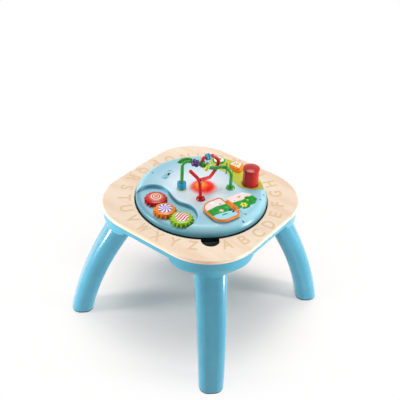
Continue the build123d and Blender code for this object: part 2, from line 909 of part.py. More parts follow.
# Crowned light lens with a flange under the shell
light_x, light_y = on_panel(light_place_shares)
lens_seat = panel_top - panel_wall
lens_bottom = lens_seat - lens_wall
lens_inner = lens_radius - lens_wall
light_plane = Plane(origin=(light_x, light_y, 0), x_dir=(1, 0, 0), z_dir=(0, -1, 0))
with BuildPart() as light_lens:
    with BuildSketch(light_plane):
        with BuildLine():
            half = lens_radius / 2
            half_inner = lens_inner / 2
            Polyline(
                (lens_inner, lens_bottom),
                (lens_radius + lens_flange, lens_bottom),
                (lens_radius + lens_flange, lens_seat),
                (lens_radius, lens_seat),
                (lens_radius, panel_top),
            )
            ThreePointArc(
                (lens_radius, panel_top),
                (half, panel_top + crown_height(lens_radius, lens_rise, half)),
                (0, panel_top + lens_rise),
            )
            Line((0, panel_top + lens_rise), (0, panel_top + lens_rise - lens_wall))
            ThreePointArc(
                (0, panel_top + lens_rise - lens_wall),
                (half_inner, panel_top - lens_wall + crown_height(lens_inner, lens_rise, half_inner)),
                (lens_inner, panel_top - lens_wall),
            )
            Line((lens_inner, panel_top - lens_wall), (lens_inner, lens_bottom))
        make_face()
    revolve(axis=Axis((light_x, light_y, 0), (0, 0, 1)))
keep(light_lens, "light_lens")

# Leaf tray with the barrel's well and post and the two button openings
well_floor = tray_top - barrel_well_depth
barrel_top = well_floor + barrel_height
web_under = barrel_top - barrel_web_drop - barrel_wall


def wedge_outline(grow):
    """The push button's blunt wedge, wider towards the panel's middle, grown by a gap."""
    half_wide = wedge_width / 2
    half_narrow = half_wide * wedge_taper_share
    half_deep = wedge_depth / 2
    with BuildLine() as outline:
        Polyline(
            (-half_wide, -half_deep),
            (half_wide, -half_deep),
            (half_narrow, half_deep),
            (-half_narrow, half_deep),
            close=True,
        )
    make_face(outline.edges())
    fillet(vertices(), wedge_round)
    if grow != 0:
        offset(amount=grow)


with BuildPart() as leaf_tray:
    with BuildSketch(Plane.XY.offset(tray_floor)):
        tray_outline(-tray_gap)
    extrude(amount=tray_depth + tray_proud)
    with BuildSketch(spot(barrel_place_shares, well_floor)):
        Circle(barrel_radius + barrel_well_gap)
    extrude(amount=barrel_well_depth, mode=Mode.SUBTRACT)
    with BuildSketch(spot(barrel_place_shares, well_floor)):
        Circle(barrel_post_radius)
    extrude(amount=web_under - seat_gap - well_floor)
    with BuildSketch(spot(barrel_place_shares, web_under - seat_gap)):
        Circle(barrel_screw_radius + push_gap)
    extrude(amount=-barrel_screw_bite - seat_gap, mode=Mode.SUBTRACT)
    with BuildSketch(spot(wedge_place_shares, tray_floor)):
        wedge_outline(button_gap)
    extrude(amount=tray_depth + tray_proud, mode=Mode.SUBTRACT)
    with BuildSketch(spot(dot_place_shares, tray_floor)):
        Circle(dot_radius + button_gap)
    extrude(amount=tray_depth + tray_proud, mode=Mode.SUBTRACT)
keep(leaf_tray, "leaf_tray")

with BuildPart() as dot_ring:
    with BuildSketch(spot(dot_place_shares, tray_top)):
        Circle(dot_radius + button_gap + dot_ring_width)
        Circle(dot_radius + button_gap, mode=Mode.SUBTRACT)
    extrude(amount=dot_ring_rise)
keep(dot_ring, "dot_button_ring")

# Turning barrel: an open tube with a web on the post, closed by a crowned cap
barrel_x, barrel_y = on_panel(barrel_place_shares)
barrel_section_plane = Plane(origin=(barrel_x, barrel_y, 0), x_dir=(1, 0, 0), z_dir=(0, -1, 0))
barrel_axis = Axis((barrel_x, barrel_y, 0), (0, 0, 1))
barrel_inner = barrel_radius - barrel_waist - barrel_wall
barrel_middle = (well_floor + barrel_top) / 2
with BuildPart() as turn_barrel:
    with BuildSketch(barrel_section_plane):
        with BuildLine():
            Polyline(
                (barrel_radius, barrel_top),
                (barrel_inner, barrel_top),
                (barrel_inner, web_under + barrel_wall),
                (barrel_screw_radius + running_gap, web_under + barrel_wall),
                (barrel_screw_radius + running_gap, web_under),
                (barrel_inner, web_under),
                (barrel_inner, well_floor),
                (barrel_radius, well_floor),
            )
            ThreePointArc(
                (barrel_radius, well_floor),
                (barrel_radius - barrel_waist, barrel_middle),
                (barrel_radius, barrel_top),
            )
        make_face()
    revolve(axis=barrel_axis)
keep(turn_barrel, "turn_barrel")

with BuildPart() as barrel_cap:
    with BuildSketch(barrel_section_plane):
        with BuildLine():
            half = barrel_radius / 2
            lip = barrel_inner - push_gap
            Polyline(
                (0, barrel_top - barrel_cap_lip),
                (lip, barrel_top - barrel_cap_lip),
                (lip, barrel_top),
                (barrel_radius, barrel_top),
            )
            ThreePointArc(
                (barrel_radius, barrel_top),
                (half, barrel_top + crown_height(barrel_radius, barrel_cap_rise, half)),
                (0, barrel_top + barrel_cap_rise),
            )
            Line((0, barrel_top + barrel_cap_rise), (0, barrel_top - barrel_cap_lip))
        make_face()
    revolve(axis=barrel_axis)
keep(barrel_cap, "barrel_cap")

barrel_head_seat = web_under + barrel_wall + seat_gap
with BuildPart() as barrel_screw:
    with BuildSketch(spot(barrel_place_shares, barrel_head_seat)):
        Circle(barrel_screw_head_radius)
    extrude(amount=barrel_screw_head_height)
    with BuildSketch(spot(barrel_place_shares, barrel_head_seat)):
        Circle(barrel_screw_radius)
    extrude(amount=-(barrel_wall + 2 * seat_gap + barrel_screw_bite))
keep(barrel_screw, "barrel_screw")

# Push buttons: each slides in its opening, held by a clip on its stem under the shell
button_bottom = tray_floor + button_travel + seat_gap
clip_top = tray_floor - panel_wall - seat_gap


def button_stem(shares):
    """Adds a button's stem and the clip that keeps it from lifting out."""
    with BuildSketch(spot(shares, button_bottom)) as stem:
        Circle(stem_radius)
    extrude(stem.sketch, amount=-(button_bottom - clip_top + stem_length))
    with BuildSketch(spot(shares, clip_top)) as clip:
        Circle(stem_clip_radius)
    extrude(clip.sketch, amount=-stem_clip_height)


wedge_top = tray_top + wedge_rise
with BuildPart() as wedge_button:
    with BuildSketch(spot(wedge_place_shares, button_bottom)):
        wedge_outline(0)
    extrude(amount=wedge_top - button_bottom)
    fillet(wedge_button.faces().sort_by(Axis.Z)[-1].edges(), wedge_face_thickness)
    button_stem(wedge_place_shares)
keep(wedge_button, "wedge_button")

with BuildPart() as wedge_face:
    with BuildSketch(spot(wedge_place_shares, wedge_top)):
        wedge_outline(-wedge_face_margin)
    extrude(amount=wedge_face_thickness)
keep(wedge_face, "wedge_button_face")

with BuildPart() as dot_button:
    with BuildSketch(spot(dot_place_shares, button_bottom)):
        Circle(dot_radius)
    extrude(amount=tray_top + dot_rise - button_bottom)
    fillet(dot_button.faces().sort_by(Axis.Z)[-1].edges(), dot_rise / 2)
    button_stem(dot_place_shares)
keep(dot_button, "dot_button")

# Gears: sixteen short involute teeth, each gear with a crowned hollow cap
base_radius = gear_pitch_radius * cos(radians(gear_pressure_angle))
tip_radius = gear_pitch_radius + gear_addendum_share * gear_module
root_radius = gear_pitch_radius - gear_dedendum_share * gear_module


def involute(angle):
    """The involute function of an angle in radians."""
    return tan(angle) - angle


def flank_point(radius, side):
    """A point on a tooth's flank at a radius, on the side +1 or -1 of the tooth's middle."""
    half_pitch_tooth = (pi * gear_module / 2 - gear_backlash) / (2 * gear_pitch_radius)
    pitch_part = involute(radians(gear_pressure_angle))
    half_angle = half_pitch_tooth + pitch_part - involute(acos(base_radius / radius))
    return (radius * cos(side * half_angle), radius * sin(side * half_angle))


with BuildSketch() as gear_tooth:
    with BuildLine():
        middle_radius = (base_radius + tip_radius) / 2
        low, high = flank_point(base_radius, -1), flank_point(base_radius, 1)
        root_low = (low[0] * root_radius / base_radius - overrun, low[1])
        root_high = (root_low[0], high[1])
        ThreePointArc(low, flank_point(middle_radius, -1), flank_point(tip_radius, -1))
        ThreePointArc(flank_point(tip_radius, -1), (tip_radius, 0), flank_point(tip_radius, 1))
        ThreePointArc(flank_point(tip_radius, 1), flank_point(middle_radius, 1), high)
        Polyline(high, root_high, root_low, low)
    make_face()

for gear_name, place in gear_places.items():
    with BuildPart() as gear:
        with BuildSketch(Plane(origin=(*place, gear_seat)).rotated((0, 0, gear_phases[gear_name]))):
            Circle(root_radius)
            with PolarLocations(0, gear_teeth):
                add(gear_tooth.sketch)
            Circle(gear_post_radius + running_gap, mode=Mode.SUBTRACT)
        extrude(amount=gear_thickness)
    keep(gear, f"gear_{gear_name}")

    with BuildPart() as gear_cap:
        cap_plane = Plane(origin=(*place, 0), x_dir=(1, 0, 0), z_dir=(0, -1, 0))
        cap_inner = gear_cap_radius - gear_cap_wall
        half = gear_cap_radius / 2
        half_inner = cap_inner / 2
        shelf = gear_top + gear_cap_rise / 2
        crown_rise = gear_cap_rise / 2
        with BuildSketch(cap_plane):
            with BuildLine():
                Polyline((cap_inner, gear_top), (gear_cap_radius, gear_top), (gear_cap_radius, shelf))
                ThreePointArc(
                    (gear_cap_radius, shelf),
                    (half, shelf + crown_height(gear_cap_radius, crown_rise, half)),
                    (0, shelf + crown_rise),
                )
                Line((0, shelf + crown_rise), (0, shelf + crown_rise - gear_cap_wall))
                ThreePointArc(
                    (0, shelf + crown_rise - gear_cap_wall),
                    (half_inner, shelf - gear_cap_wall + crown_height(cap_inner, crown_rise, half_inner)),
                    (cap_inner, shelf - gear_cap_wall),
                )
                Line((cap_inner, shelf - gear_cap_wall), (cap_inner, gear_top))
            make_face()
        revolve(axis=Axis((*place, 0), (0, 0, 1)))
    keep(gear_cap, f"gear_cap_{gear_name}")

# Flip book: two printed plates, a hinge bracket with its pin, and the page with its insert
print_start = page_spine_gap + print_margin
tucked_width = page_width - print_margin - print_tuck
tucked_length = page_length - 2 * print_tuck
print_length = page_length - 2 * print_margin
for print_name, side, width, length, tuck in (
    ("left", -1, tucked_width, tucked_length, print_tuck),
    ("right", 1, page_width, print_length, print_margin),
):
    with BuildPart() as book_print:
        with BuildSketch(book_plane):
            with Locations((0, side * (print_start + width / 2))):
                Rectangle(length, width)
            outer_corners = vertices().sort_by(Axis.Y)[:2] if side < 0 else vertices().sort_by(Axis.Y)[-2:]
            fillet(outer_corners, page_outer_round - tuck)
            with Locations(panel_axis_in_book):
                Circle(print_reach, mode=Mode.INTERSECT)
        extrude(amount=print_thickness)
    keep(book_print, f"book_print_{print_name}")

ear_length = (knuckle_length - knuckle_barrel_length) / 2 - knuckle_gap
ear_middle = (knuckle_length - ear_length) / 2
with BuildPart() as book_bracket:
    with BuildSketch(book_plane):
        Rectangle(knuckle_length, bracket_width)
    extrude(amount=bracket_plate)
    fillet(book_bracket.edges().filter_by(Axis.Z), bracket_plate)
    for side in (-1, 1):
        ear_plane = Plane(
            origin=pin_plane.origin + pin_plane.z_dir * (side * ear_middle - ear_length / 2),
            x_dir=pin_plane.x_dir,
            z_dir=pin_plane.z_dir,
        )
        with BuildSketch(ear_plane):
            Circle(knuckle_radius)
            with Locations((0, -(page_axis_height - bracket_plate) / 2)):
                Rectangle(2 * knuckle_radius, page_axis_height - bracket_plate)
            Circle(book_pin_radius + push_gap / 2, mode=Mode.SUBTRACT)
        extrude(amount=ear_length)
keep(book_bracket, "book_hinge_bracket")

with BuildPart() as book_pin:
    pin_start = pin_plane.origin - pin_plane.z_dir * knuckle_length / 2
    with BuildSketch(Plane(origin=pin_start, z_dir=pin_plane.z_dir)):
        Circle(book_pin_radius)
    extrude(amount=knuckle_length)
keep(book_pin, "book_hinge_pin")

page_plane = Plane(
    origin=book_plane.origin + Vector(0, 0, page_axis_height - page_thickness / 2),
    x_dir=book_plane.x_dir,
    z_dir=book_plane.z_dir,
)


def page_outline(inset):
    """The page's outline, rounder at its free corners, inset by a margin."""
    with Locations((0, -page_spine_gap - page_width / 2)):
        Rectangle(page_length - 2 * inset, page_width - 2 * inset)
    corners = vertices().sort_by(Axis.Y)
    fillet(corners[:2], page_outer_round - inset)
    fillet(vertices().sort_by(Axis.Y)[-2:], page_spine_round - inset)


with BuildPart() as page_frame:
    with BuildSketch(page_plane):
        page_outline(0)
    extrude(amount=page_thickness)
    with BuildSketch(page_plane):
        page_outline(page_rim)
    extrude(amount=page_thickness, mode=Mode.SUBTRACT)
    with BuildSketch(page_plane):
        with Locations((0, -(page_spine_gap + page_rim) / 2)):
            Rectangle(knuckle_barrel_length, page_spine_gap + page_rim)
    extrude(amount=page_thickness)
    barrel_plane = Plane(
        origin=pin_plane.origin - pin_plane.z_dir * knuckle_barrel_length / 2,
        x_dir=pin_plane.x_dir,
        z_dir=pin_plane.z_dir,
    )
    with BuildSketch(barrel_plane):
        Circle(knuckle_radius)
    extrude(amount=knuckle_barrel_length)
    with BuildSketch(barrel_plane):
        Circle(book_pin_radius + running_gap)
    extrude(amount=knuckle_barrel_length, mode=Mode.SUBTRACT)
keep(page_frame, "page_frame")

with BuildPart() as page_insert:
    with BuildSketch(page_plane.offset((page_thickness - insert_thickness) / 2)):
        page_outline(page_rim + push_gap)
    extrude(amount=insert_thickness)
keep(page_insert, "page_insert")

# Green arch: one bent tube with two feet, a leaf, a sprig and a socket for the red track
dip_point = (arch_span * arch_dip_share, arch_height - arch_dip_drop)
right_corner = (arch_span, arch_height - arch_right_drop)


def on_run(along_share):
    """A point on the arch's sloping run, from a share of the arch's span."""
    along = along_share * arch_span
    return in_arch(along, 0, arch_height - arch_dip_drop * along / dip_point[0])


run_direction = (on_run(1) - on_run(0)).normalized()


def run_plane(along_share, back):
    """A plane square to the sloping run, a distance back from a share of the span."""
    return Plane(origin=on_run(along_share) - run_direction * back, z_dir=run_direction)


hub_middle = on_run(hub_share)
with BuildPart() as green_track:
    with BuildLine(arch_plane) as arch_line:
        FilletPolyline(
            (0, -panel_wall),
            (0, arch_height),
            dip_point,
            right_corner,
            (arch_span, -panel_wall),
            radius=(arch_left_bend, arch_dip_bend, arch_right_bend),
        )
    with BuildSketch(Plane(origin=arch_left - Vector(0, 0, panel_wall), z_dir=(0, 0, 1))):
        Circle(tube_radius)
    sweep(path=arch_line.wires()[0])
    for foot in (arch_left, arch_right):
        with BuildSketch(Plane(origin=foot)):
            Circle(track_foot_radius)
        extrude(amount=track_foot_height, taper=track_foot_taper)
    with BuildSketch(arch_plane.offset(-leaf_thickness)):
        with BuildLine():
            leaf_far = (leaf_start + leaf_length, leaf_lift + leaf_tilt)
            leaf_near = (leaf_start, leaf_lift)
            leaf_mid = ((leaf_near[0] + leaf_far[0]) / 2, (leaf_near[1] + leaf_far[1]) / 2)
            ThreePointArc(leaf_near, (leaf_mid[0], leaf_mid[1] + leaf_width / 2), leaf_far)
            ThreePointArc(leaf_far, (leaf_mid[0], leaf_mid[1] - leaf_width / 2), leaf_near)
        make_face()
    extrude(amount=leaf_thickness)
    sprig_plane = Plane(
        origin=in_arch(sprig_along_share * arch_span, 0, arch_height - arch_right_drop),
        x_dir=arch_front,
        z_dir=arch_along,
    )
    with BuildSketch(sprig_plane.offset(-leaf_thickness / 2)):
        with BuildLine():
            belly = sprig_height * sprig_belly_share
            ThreePointArc((0, -tube_radius), (sprig_width / 2, belly), (0, sprig_height))
            ThreePointArc((0, sprig_height), (-sprig_width / 2, belly), (0, -tube_radius))
        make_face()
    extrude(amount=leaf_thickness)
    with BuildSketch(run_plane(hub_share, hub_length / 2)):
        Circle(hub_radius)
    extrude(amount=hub_length)
    with BuildSketch(Plane(origin=hub_middle)):
        Circle(hub_radius)
    extrude(amount=hub_radius + hub_socket_depth)
    with BuildSketch(Plane(origin=hub_middle + Vector(0, 0, hub_radius))):
        Circle(tube_radius + push_gap)
    extrude(amount=hub_socket_depth, mode=Mode.SUBTRACT)
    for foot in (arch_left, arch_right):
        with BuildSketch(Plane(origin=foot - Vector(0, 0, panel_wall))):
            Circle(small_screw_radius + push_gap)
        extrude(amount=small_screw_bite + seat_gap, mode=Mode.SUBTRACT)
keep(green_track, "green_track")

# Red track: a leaning post that forks into a round-ended finger and a loop around the arch
red_fork = in_arch(red_foot_along + red_post_lean, red_foot_front, red_post_height)
red_tip = in_arch(red_foot_along + red_tip_reach, red_foot_front + red_tip_inward, red_tip_height)
red_loop = [
    in_arch(share[0] * arch_span, share[1] * red_foot_front, share[2] * arch_height)
    for share in red_path_shares
]
red_drop = Vector(hub_middle.X, hub_middle.Y, hub_middle.Z + hub_radius)
red_above_hub = Vector(hub_middle.X, hub_middle.Y, red_loop[-1].Z)
with BuildPart() as red_track:
    red_start = red_foot - Vector(0, 0, panel_wall)
    with BuildLine() as post_line:
        FilletPolyline(red_start, red_fork, red_tip, radius=red_post_bend)
    with BuildSketch(Plane(origin=red_start, z_dir=red_fork - red_start)):
        Circle(tube_radius)
    sweep(path=post_line.wires()[0])
    with Locations(red_tip):
        Sphere(tube_radius)
    with BuildLine() as loop_line:
        FilletPolyline(
            red_fork,
            *red_loop[:-1],
            red_above_hub,
            red_drop,
            radius=red_path_bends,
        )
    with BuildSketch(Plane(origin=red_fork, z_dir=red_loop[0] - red_fork)):
        Circle(tube_radius)
    sweep(path=loop_line.wires()[0])
    with BuildSketch(Plane(origin=red_foot)):
        Circle(track_foot_radius)
    extrude(amount=track_foot_height, taper=track_foot_taper)
    with BuildSketch(Plane(origin=red_start)):
        Rectangle(2 * track_foot_radius, 2 * track_foot_radius)
    extrude(amount=-tube_radius, mode=Mode.SUBTRACT)
    with BuildSketch(Plane(origin=red_start)):
        Circle(small_screw_radius + push_gap)
    extrude(amount=small_screw_bite + seat_gap, mode=Mode.SUBTRACT)
keep(red_track, "red_track")

with BuildPart() as track_screws:
    for foot in track_feet:
        with BuildSketch(Plane(origin=foot - Vector(0, 0, panel_wall))):
            Circle(2 * small_screw_head_radius)
        extrude(amount=-small_screw_head_height)
        with BuildSketch(Plane(origin=foot - Vector(0, 0, panel_wall))):
            Circle(small_screw_radius)
        extrude(amount=small_screw_bite)
keep(track_screws, "track_screws")

# Beads
bore = tube_radius + bead_gap
ring_bead_bottom = panel_top + track_foot_height
ring_plane = Plane(origin=(arch_left.X, arch_left.Y, ring_bead_bottom), x_dir=(1, 0, 0), z_dir=(0, -1, 0))
ring_band = ring_bead_height / (ring_bead_grooves + 1)
with BuildPart() as ring_bead:
    with BuildSketch(Plane(origin=(arch_left.X, arch_left.Y, ring_bead_bottom))):
        Circle(ring_bead_radius)
        Circle(bore, mode=Mode.SUBTRACT)
    extrude(amount=ring_bead_height)
    fillet(ring_bead.edges().filter_by(GeomType.CIRCLE).sort_by(SortBy.RADIUS)[-2:], ring_bead_groove)
    with BuildSketch(ring_plane):
        for groove in range(ring_bead_grooves):
            with Locations((ring_bead_radius, ring_band * (groove + 1))):
                Circle(ring_bead_groove)
    revolve(axis=Axis(ring_plane.origin, (0, 0, 1)), mode=Mode.SUBTRACT)
keep(ring_bead, "ring_bead")


def bead(plane, radius, length, waist):
    """A two-lobed bead along a plane's normal, from a section turned about its bore."""
    section_plane = Plane(origin=plane.origin, x_dir=plane.x_dir, z_dir=plane.y_dir * -1)
    quarter = length / 4
    end_radius = bore + waist
    with BuildSketch(section_plane) as section:
        with BuildLine():
            Line((end_radius, 0), (bore, 0))
            Line((bore, 0), (bore, length))
            Line((bore, length), (end_radius, length))
            ThreePointArc((end_radius, length), (radius, length - quarter), (radius - waist, length / 2))
            ThreePointArc((radius - waist, length / 2), (radius, quarter), (end_radius, 0))
        make_face()
    revolve(section.sketch, axis=Axis(plane.origin, plane.z_dir))


with BuildPart() as plum_bead:
    bead(run_plane(plum_share, plum_bead_length / 2), plum_bead_radius, plum_bead_length, plum_bead_waist)
keep(plum_bead, "plum_bead")

with BuildPart() as lime_bead:
    with BuildSketch(run_plane(lime_share, lime_bead_length / 2)):
        Circle(lime_bead_radius)
        Circle(bore, mode=Mode.SUBTRACT)
    extrude(amount=lime_bead_length)
    fillet(lime_bead.edges().filter_by(GeomType.CIRCLE).sort_by(SortBy.RADIUS)[-2:], lime_bead_round)
keep(lime_bead, "lime_bead")

blue_direction = (red_above_hub - red_loop[-2]).normalized()
blue_middle = (red_above_hub + red_loop[-2]) / 2
with BuildPart() as blue_bead:
    blue_plane = Plane(origin=blue_middle - blue_direction * (blue_bead_length / 2), z_dir=blue_direction)
    bead(blue_plane, blue_bead_radius, blue_bead_length, blue_bead_waist)
keep(blue_bead, "blue_bead")

# Power slider in its track, and the switch housing under the shell
slider_rest = slider_plane.offset(-slider_track_depth)
slider_rest.origin = slider_rest.origin - slider_plane.x_dir * (slider_travel / 2)
slider_foot_top = panel_top - panel_wall - seat_gap
with BuildPart() as power_slider:
    with BuildSketch(slider_rest.offset(push_gap)):
        SlotOverall(slider_knob_length, slider_knob_width)
    extrude(amount=slider_knob_rise)
    fillet(power_slider.faces().sort_by(Axis.Z)[-1].edges(), slider_knob_rise * slider_round_share)
    with BuildSketch(slider_rest.offset(push_gap)):
        SlotOverall(slider_stem_length, slider_stem_width)
    extrude(amount=slider_foot_top - slider_rest.origin.Z - push_gap)
    foot_plane = Plane(
        origin=(slider_rest.origin.X, slider_rest.origin.Y, slider_foot_top),
        x_dir=slider_plane.x_dir,
        z_dir=(0, 0, 1),
    )
    with BuildSketch(foot_plane):
        Rectangle(slider_foot_length, slider_foot_width)
    extrude(amount=-slider_foot_height)
keep(power_slider, "power_slider")

with BuildPart() as switch_housing:
    with BuildSketch(slider_plane.offset(-panel_wall)):
        Rectangle(switch_length, switch_width)
    extrude(amount=-switch_height)
    with BuildSketch(slider_plane.offset(-panel_wall)):
        Rectangle(switch_length - 2 * switch_wall, switch_width - 2 * switch_wall)
    extrude(amount=-(switch_height - switch_wall), mode=Mode.SUBTRACT)
keep(switch_housing, "switch_housing")

# Circuit board with its lamp, chip and two key switches
board_top = board_plane.offset(board_thickness)
with BuildPart() as circuit_board:
    with BuildSketch(board_plane):
        Rectangle(board_width, board_length)
        with Locations(*board_spots):
            Circle(small_screw_radius + push_gap, mode=Mode.SUBTRACT)
    extrude(amount=board_thickness)
keep(circuit_board, "circuit_board")

with BuildPart() as board_screws:
    with Locations(board_top):
        with Locations(*board_spots):
            Cylinder(
                small_screw_head_radius,
                small_screw_head_height,
                align=(Align.CENTER, Align.CENTER, Align.MIN),
            )
            Cylinder(
                small_screw_radius,
                board_thickness + small_screw_bite,
                align=(Align.CENTER, Align.CENTER, Align.MAX),
            )
keep(board_screws, "board_screws")

board_face = board_top.origin.Z
with BuildPart() as light_lamp:
    with BuildSketch(spot(light_place_shares, board_face)):
        Circle(led_radius)
    extrude(amount=led_height)
    fillet(light_lamp.faces().sort_by(Axis.Z)[-1].edges(), led_radius * led_round_share)
keep(light_lamp, "light_lamp")

with BuildPart() as sound_chip:
    with BuildSketch(spot(chip_place_shares, board_face)):
        Rectangle(chip_size, chip_size)
    extrude(amount=chip_height)
keep(sound_chip, "sound_chip")

stem_bottom = clip_top - stem_length
with BuildPart() as key_switches:
    for shares in (wedge_place_shares, dot_place_shares):
        with BuildSketch(spot(shares, board_face)):
            Rectangle(tact_size, tact_size)
        extrude(amount=stem_bottom - button_travel - seat_gap - board_face)
keep(key_switches, "key_switches")

# Loudspeaker over the grille
with BuildPart() as speaker:
    with BuildSketch(speaker_plane):
        Circle(speaker_radius)
    extrude(amount=speaker_rim_height)
    with BuildSketch(Plane(origin=speaker_plane.origin + Vector(0, 0, speaker_rim_height))):
        Circle(speaker_radius - speaker_rim_height)
    cone_inset = speaker_radius - speaker_rim_height - speaker_magnet_radius
    cone_taper = degrees(atan2(cone_inset, speaker_cone_height))
    extrude(amount=speaker_cone_height, taper=cone_taper)
    with BuildSketch(
        Plane(origin=speaker_plane.origin + Vector(0, 0, speaker_rim_height + speaker_cone_height))
    ):
        Circle(speaker_magnet_radius)
    extrude(amount=speaker_magnet_height)
keep(speaker, "speaker")

# Cells, contacts and the battery door
cell_level = panel_floor + door_thickness + box_gap + cell_radius
cell_row = [(cell - (cell_count - 1) / 2) * cell_pitch for cell in range(cell_count)]
box_x, box_y = on_panel(battery_place_shares)
cell_start = box_x - box_inner_length / 2 + contact_thickness + box_gap
with BuildPart() as battery_cells:
    for side in cell_row:
        with BuildSketch(Plane(origin=(cell_start, box_y + side, cell_level), z_dir=(1, 0, 0))):
            Circle(cell_radius)
        extrude(amount=cell_length)
        with BuildSketch(Plane(origin=(cell_start + cell_length, box_y + side, cell_level), z_dir=(1, 0, 0))):
            Circle(cell_nub_radius)
        extrude(amount=cell_nub_length)
keep(battery_cells, "battery_cells")

with BuildPart() as battery_contacts:
    for side in cell_row:
        for end in (-1, 1):
            face_x = box_x + end * box_inner_length / 2
            with BuildSketch(Plane(origin=(face_x, box_y + side, cell_level), z_dir=(-end, 0, 0))):
                Rectangle(contact_width, contact_width)
            extrude(amount=contact_thickness)
keep(battery_contacts, "battery_contacts")

with BuildPart() as battery_door:
    with BuildSketch(box_plane):
        Rectangle(
            box_inner_length + 2 * door_lip - 2 * door_gap,
            box_inner_width + 2 * door_lip - 2 * door_gap,
        )
    extrude(amount=door_lip_thickness)
    with BuildSketch(box_plane):
        Rectangle(box_inner_length - 2 * door_gap, box_inner_width - 2 * door_gap)
    extrude(amount=door_thickness)
keep(battery_door, "battery_door")
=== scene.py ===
"""Dresses the activity table: wood ring, moulded frame and legs, and the lift-out play panel.

Lengths are in metres, and angles are in radians unless their names say degrees.
"""

import json
import logging
import math
from collections.abc import Sequence
from dataclasses import dataclass
from enum import Enum
from typing import Any, ClassVar, Protocol

import bmesh
import bpy
from mathutils import Matrix, Vector

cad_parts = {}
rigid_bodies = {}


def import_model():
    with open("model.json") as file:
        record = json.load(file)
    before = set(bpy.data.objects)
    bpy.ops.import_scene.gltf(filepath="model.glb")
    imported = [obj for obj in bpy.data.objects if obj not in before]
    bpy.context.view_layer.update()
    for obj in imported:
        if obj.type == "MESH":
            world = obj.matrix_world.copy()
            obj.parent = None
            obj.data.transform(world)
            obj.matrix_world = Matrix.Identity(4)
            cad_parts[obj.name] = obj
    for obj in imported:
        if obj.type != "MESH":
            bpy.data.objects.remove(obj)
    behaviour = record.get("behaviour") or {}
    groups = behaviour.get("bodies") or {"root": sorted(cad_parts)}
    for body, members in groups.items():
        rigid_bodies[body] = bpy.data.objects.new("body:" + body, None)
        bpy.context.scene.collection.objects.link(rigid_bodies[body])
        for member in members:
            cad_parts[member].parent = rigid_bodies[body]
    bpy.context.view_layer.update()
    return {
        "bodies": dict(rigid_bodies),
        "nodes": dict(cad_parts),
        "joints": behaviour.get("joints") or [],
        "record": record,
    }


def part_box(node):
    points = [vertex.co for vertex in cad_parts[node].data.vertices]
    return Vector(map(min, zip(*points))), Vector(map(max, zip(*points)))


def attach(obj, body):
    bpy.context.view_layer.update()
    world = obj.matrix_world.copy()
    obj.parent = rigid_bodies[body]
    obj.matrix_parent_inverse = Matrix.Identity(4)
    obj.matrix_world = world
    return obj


log = logging.getLogger("activity_table")

Color = tuple[float, float, float]
Point = tuple[float, float, float]
Span = tuple[float, float]
Names = tuple[str, ...]

BLACK: Color = (0.008, 0.009, 0.010)
WHITE: Color = (1.0, 1.0, 1.0)
CLOUD_DETAIL = 4.0
CLOUD_BAND: Span = (0.3, 0.7)
COAT_ROUGH = 0.1
COAT_IOR = 1.5


def srgb(*channels: float) -> Color:
    """Turns display values from 0 to 255 into a linear colour."""
    shares = [value / 255 for value in channels]
    return tuple(s / 12.92 if s <= 0.04045 else ((s + 0.055) / 1.055) ** 2.4 for s in shares)


def tone(color: Color, share: float, lift: float = 0.0) -> Color:
    """A darker or paler colour: a share of the light, and a lift."""
    return tuple(min(1.0, channel * share + lift) for channel in color)


class Val:
    """A shader socket that takes part in Python sums, each of which adds a Math node."""

    def __init__(self, tree: "Tree", socket: bpy.types.NodeSocket) -> None:
        """Keeps the socket and the tree it belongs to."""
        self.tree = tree
        self.socket = socket

    def math(self, operation: str, *others: Any) -> "Val":
        """Adds one Math node with this value first and the others after it."""
        inputs = {0: self} | {i + 1: other for i, other in enumerate(others)}
        return self.tree.node("ShaderNodeMath", {"operation": operation}, inputs)

    def __add__(self, other: Any) -> "Val":
        """Sum."""
        return self.math("ADD", other)

    def __mul__(self, other: Any) -> "Val":
        """Product."""
        return self.math("MULTIPLY", other)

    def __sub__(self, other: Any) -> "Val":
        """Difference."""
        return self.math("SUBTRACT", other)

    def __rsub__(self, other: Any) -> "Val":
        """Difference from another value."""
        return (self * -1.0) + other

    def __truediv__(self, other: Any) -> "Val":
        """Quotient."""
        return self.math("DIVIDE", other)

    def __lt__(self, other: Any) -> "Val":
        """One where this is less, else zero."""
        return self.math("LESS_THAN", other)

    def __gt__(self, other: Any) -> "Val":
        """One where this is more, else zero."""
        return self.math("GREATER_THAN", other)

    def step(self, low: float, high: float) -> "Val":
        """Rises smoothly from 0 at low to 1 at high."""
        settings = {"interpolation_type": "SMOOTHSTEP"}
        return self.tree.node("ShaderNodeMapRange", settings, {0: self, 1: low, 2: high, 3: 0.0, 4: 1.0})

    def wave(self, rate: float, height: float = 1.0) -> "Val":
        """A sine wave of this value, with its rate in radians for each unit."""
        return (self * rate).math("SINE") * height


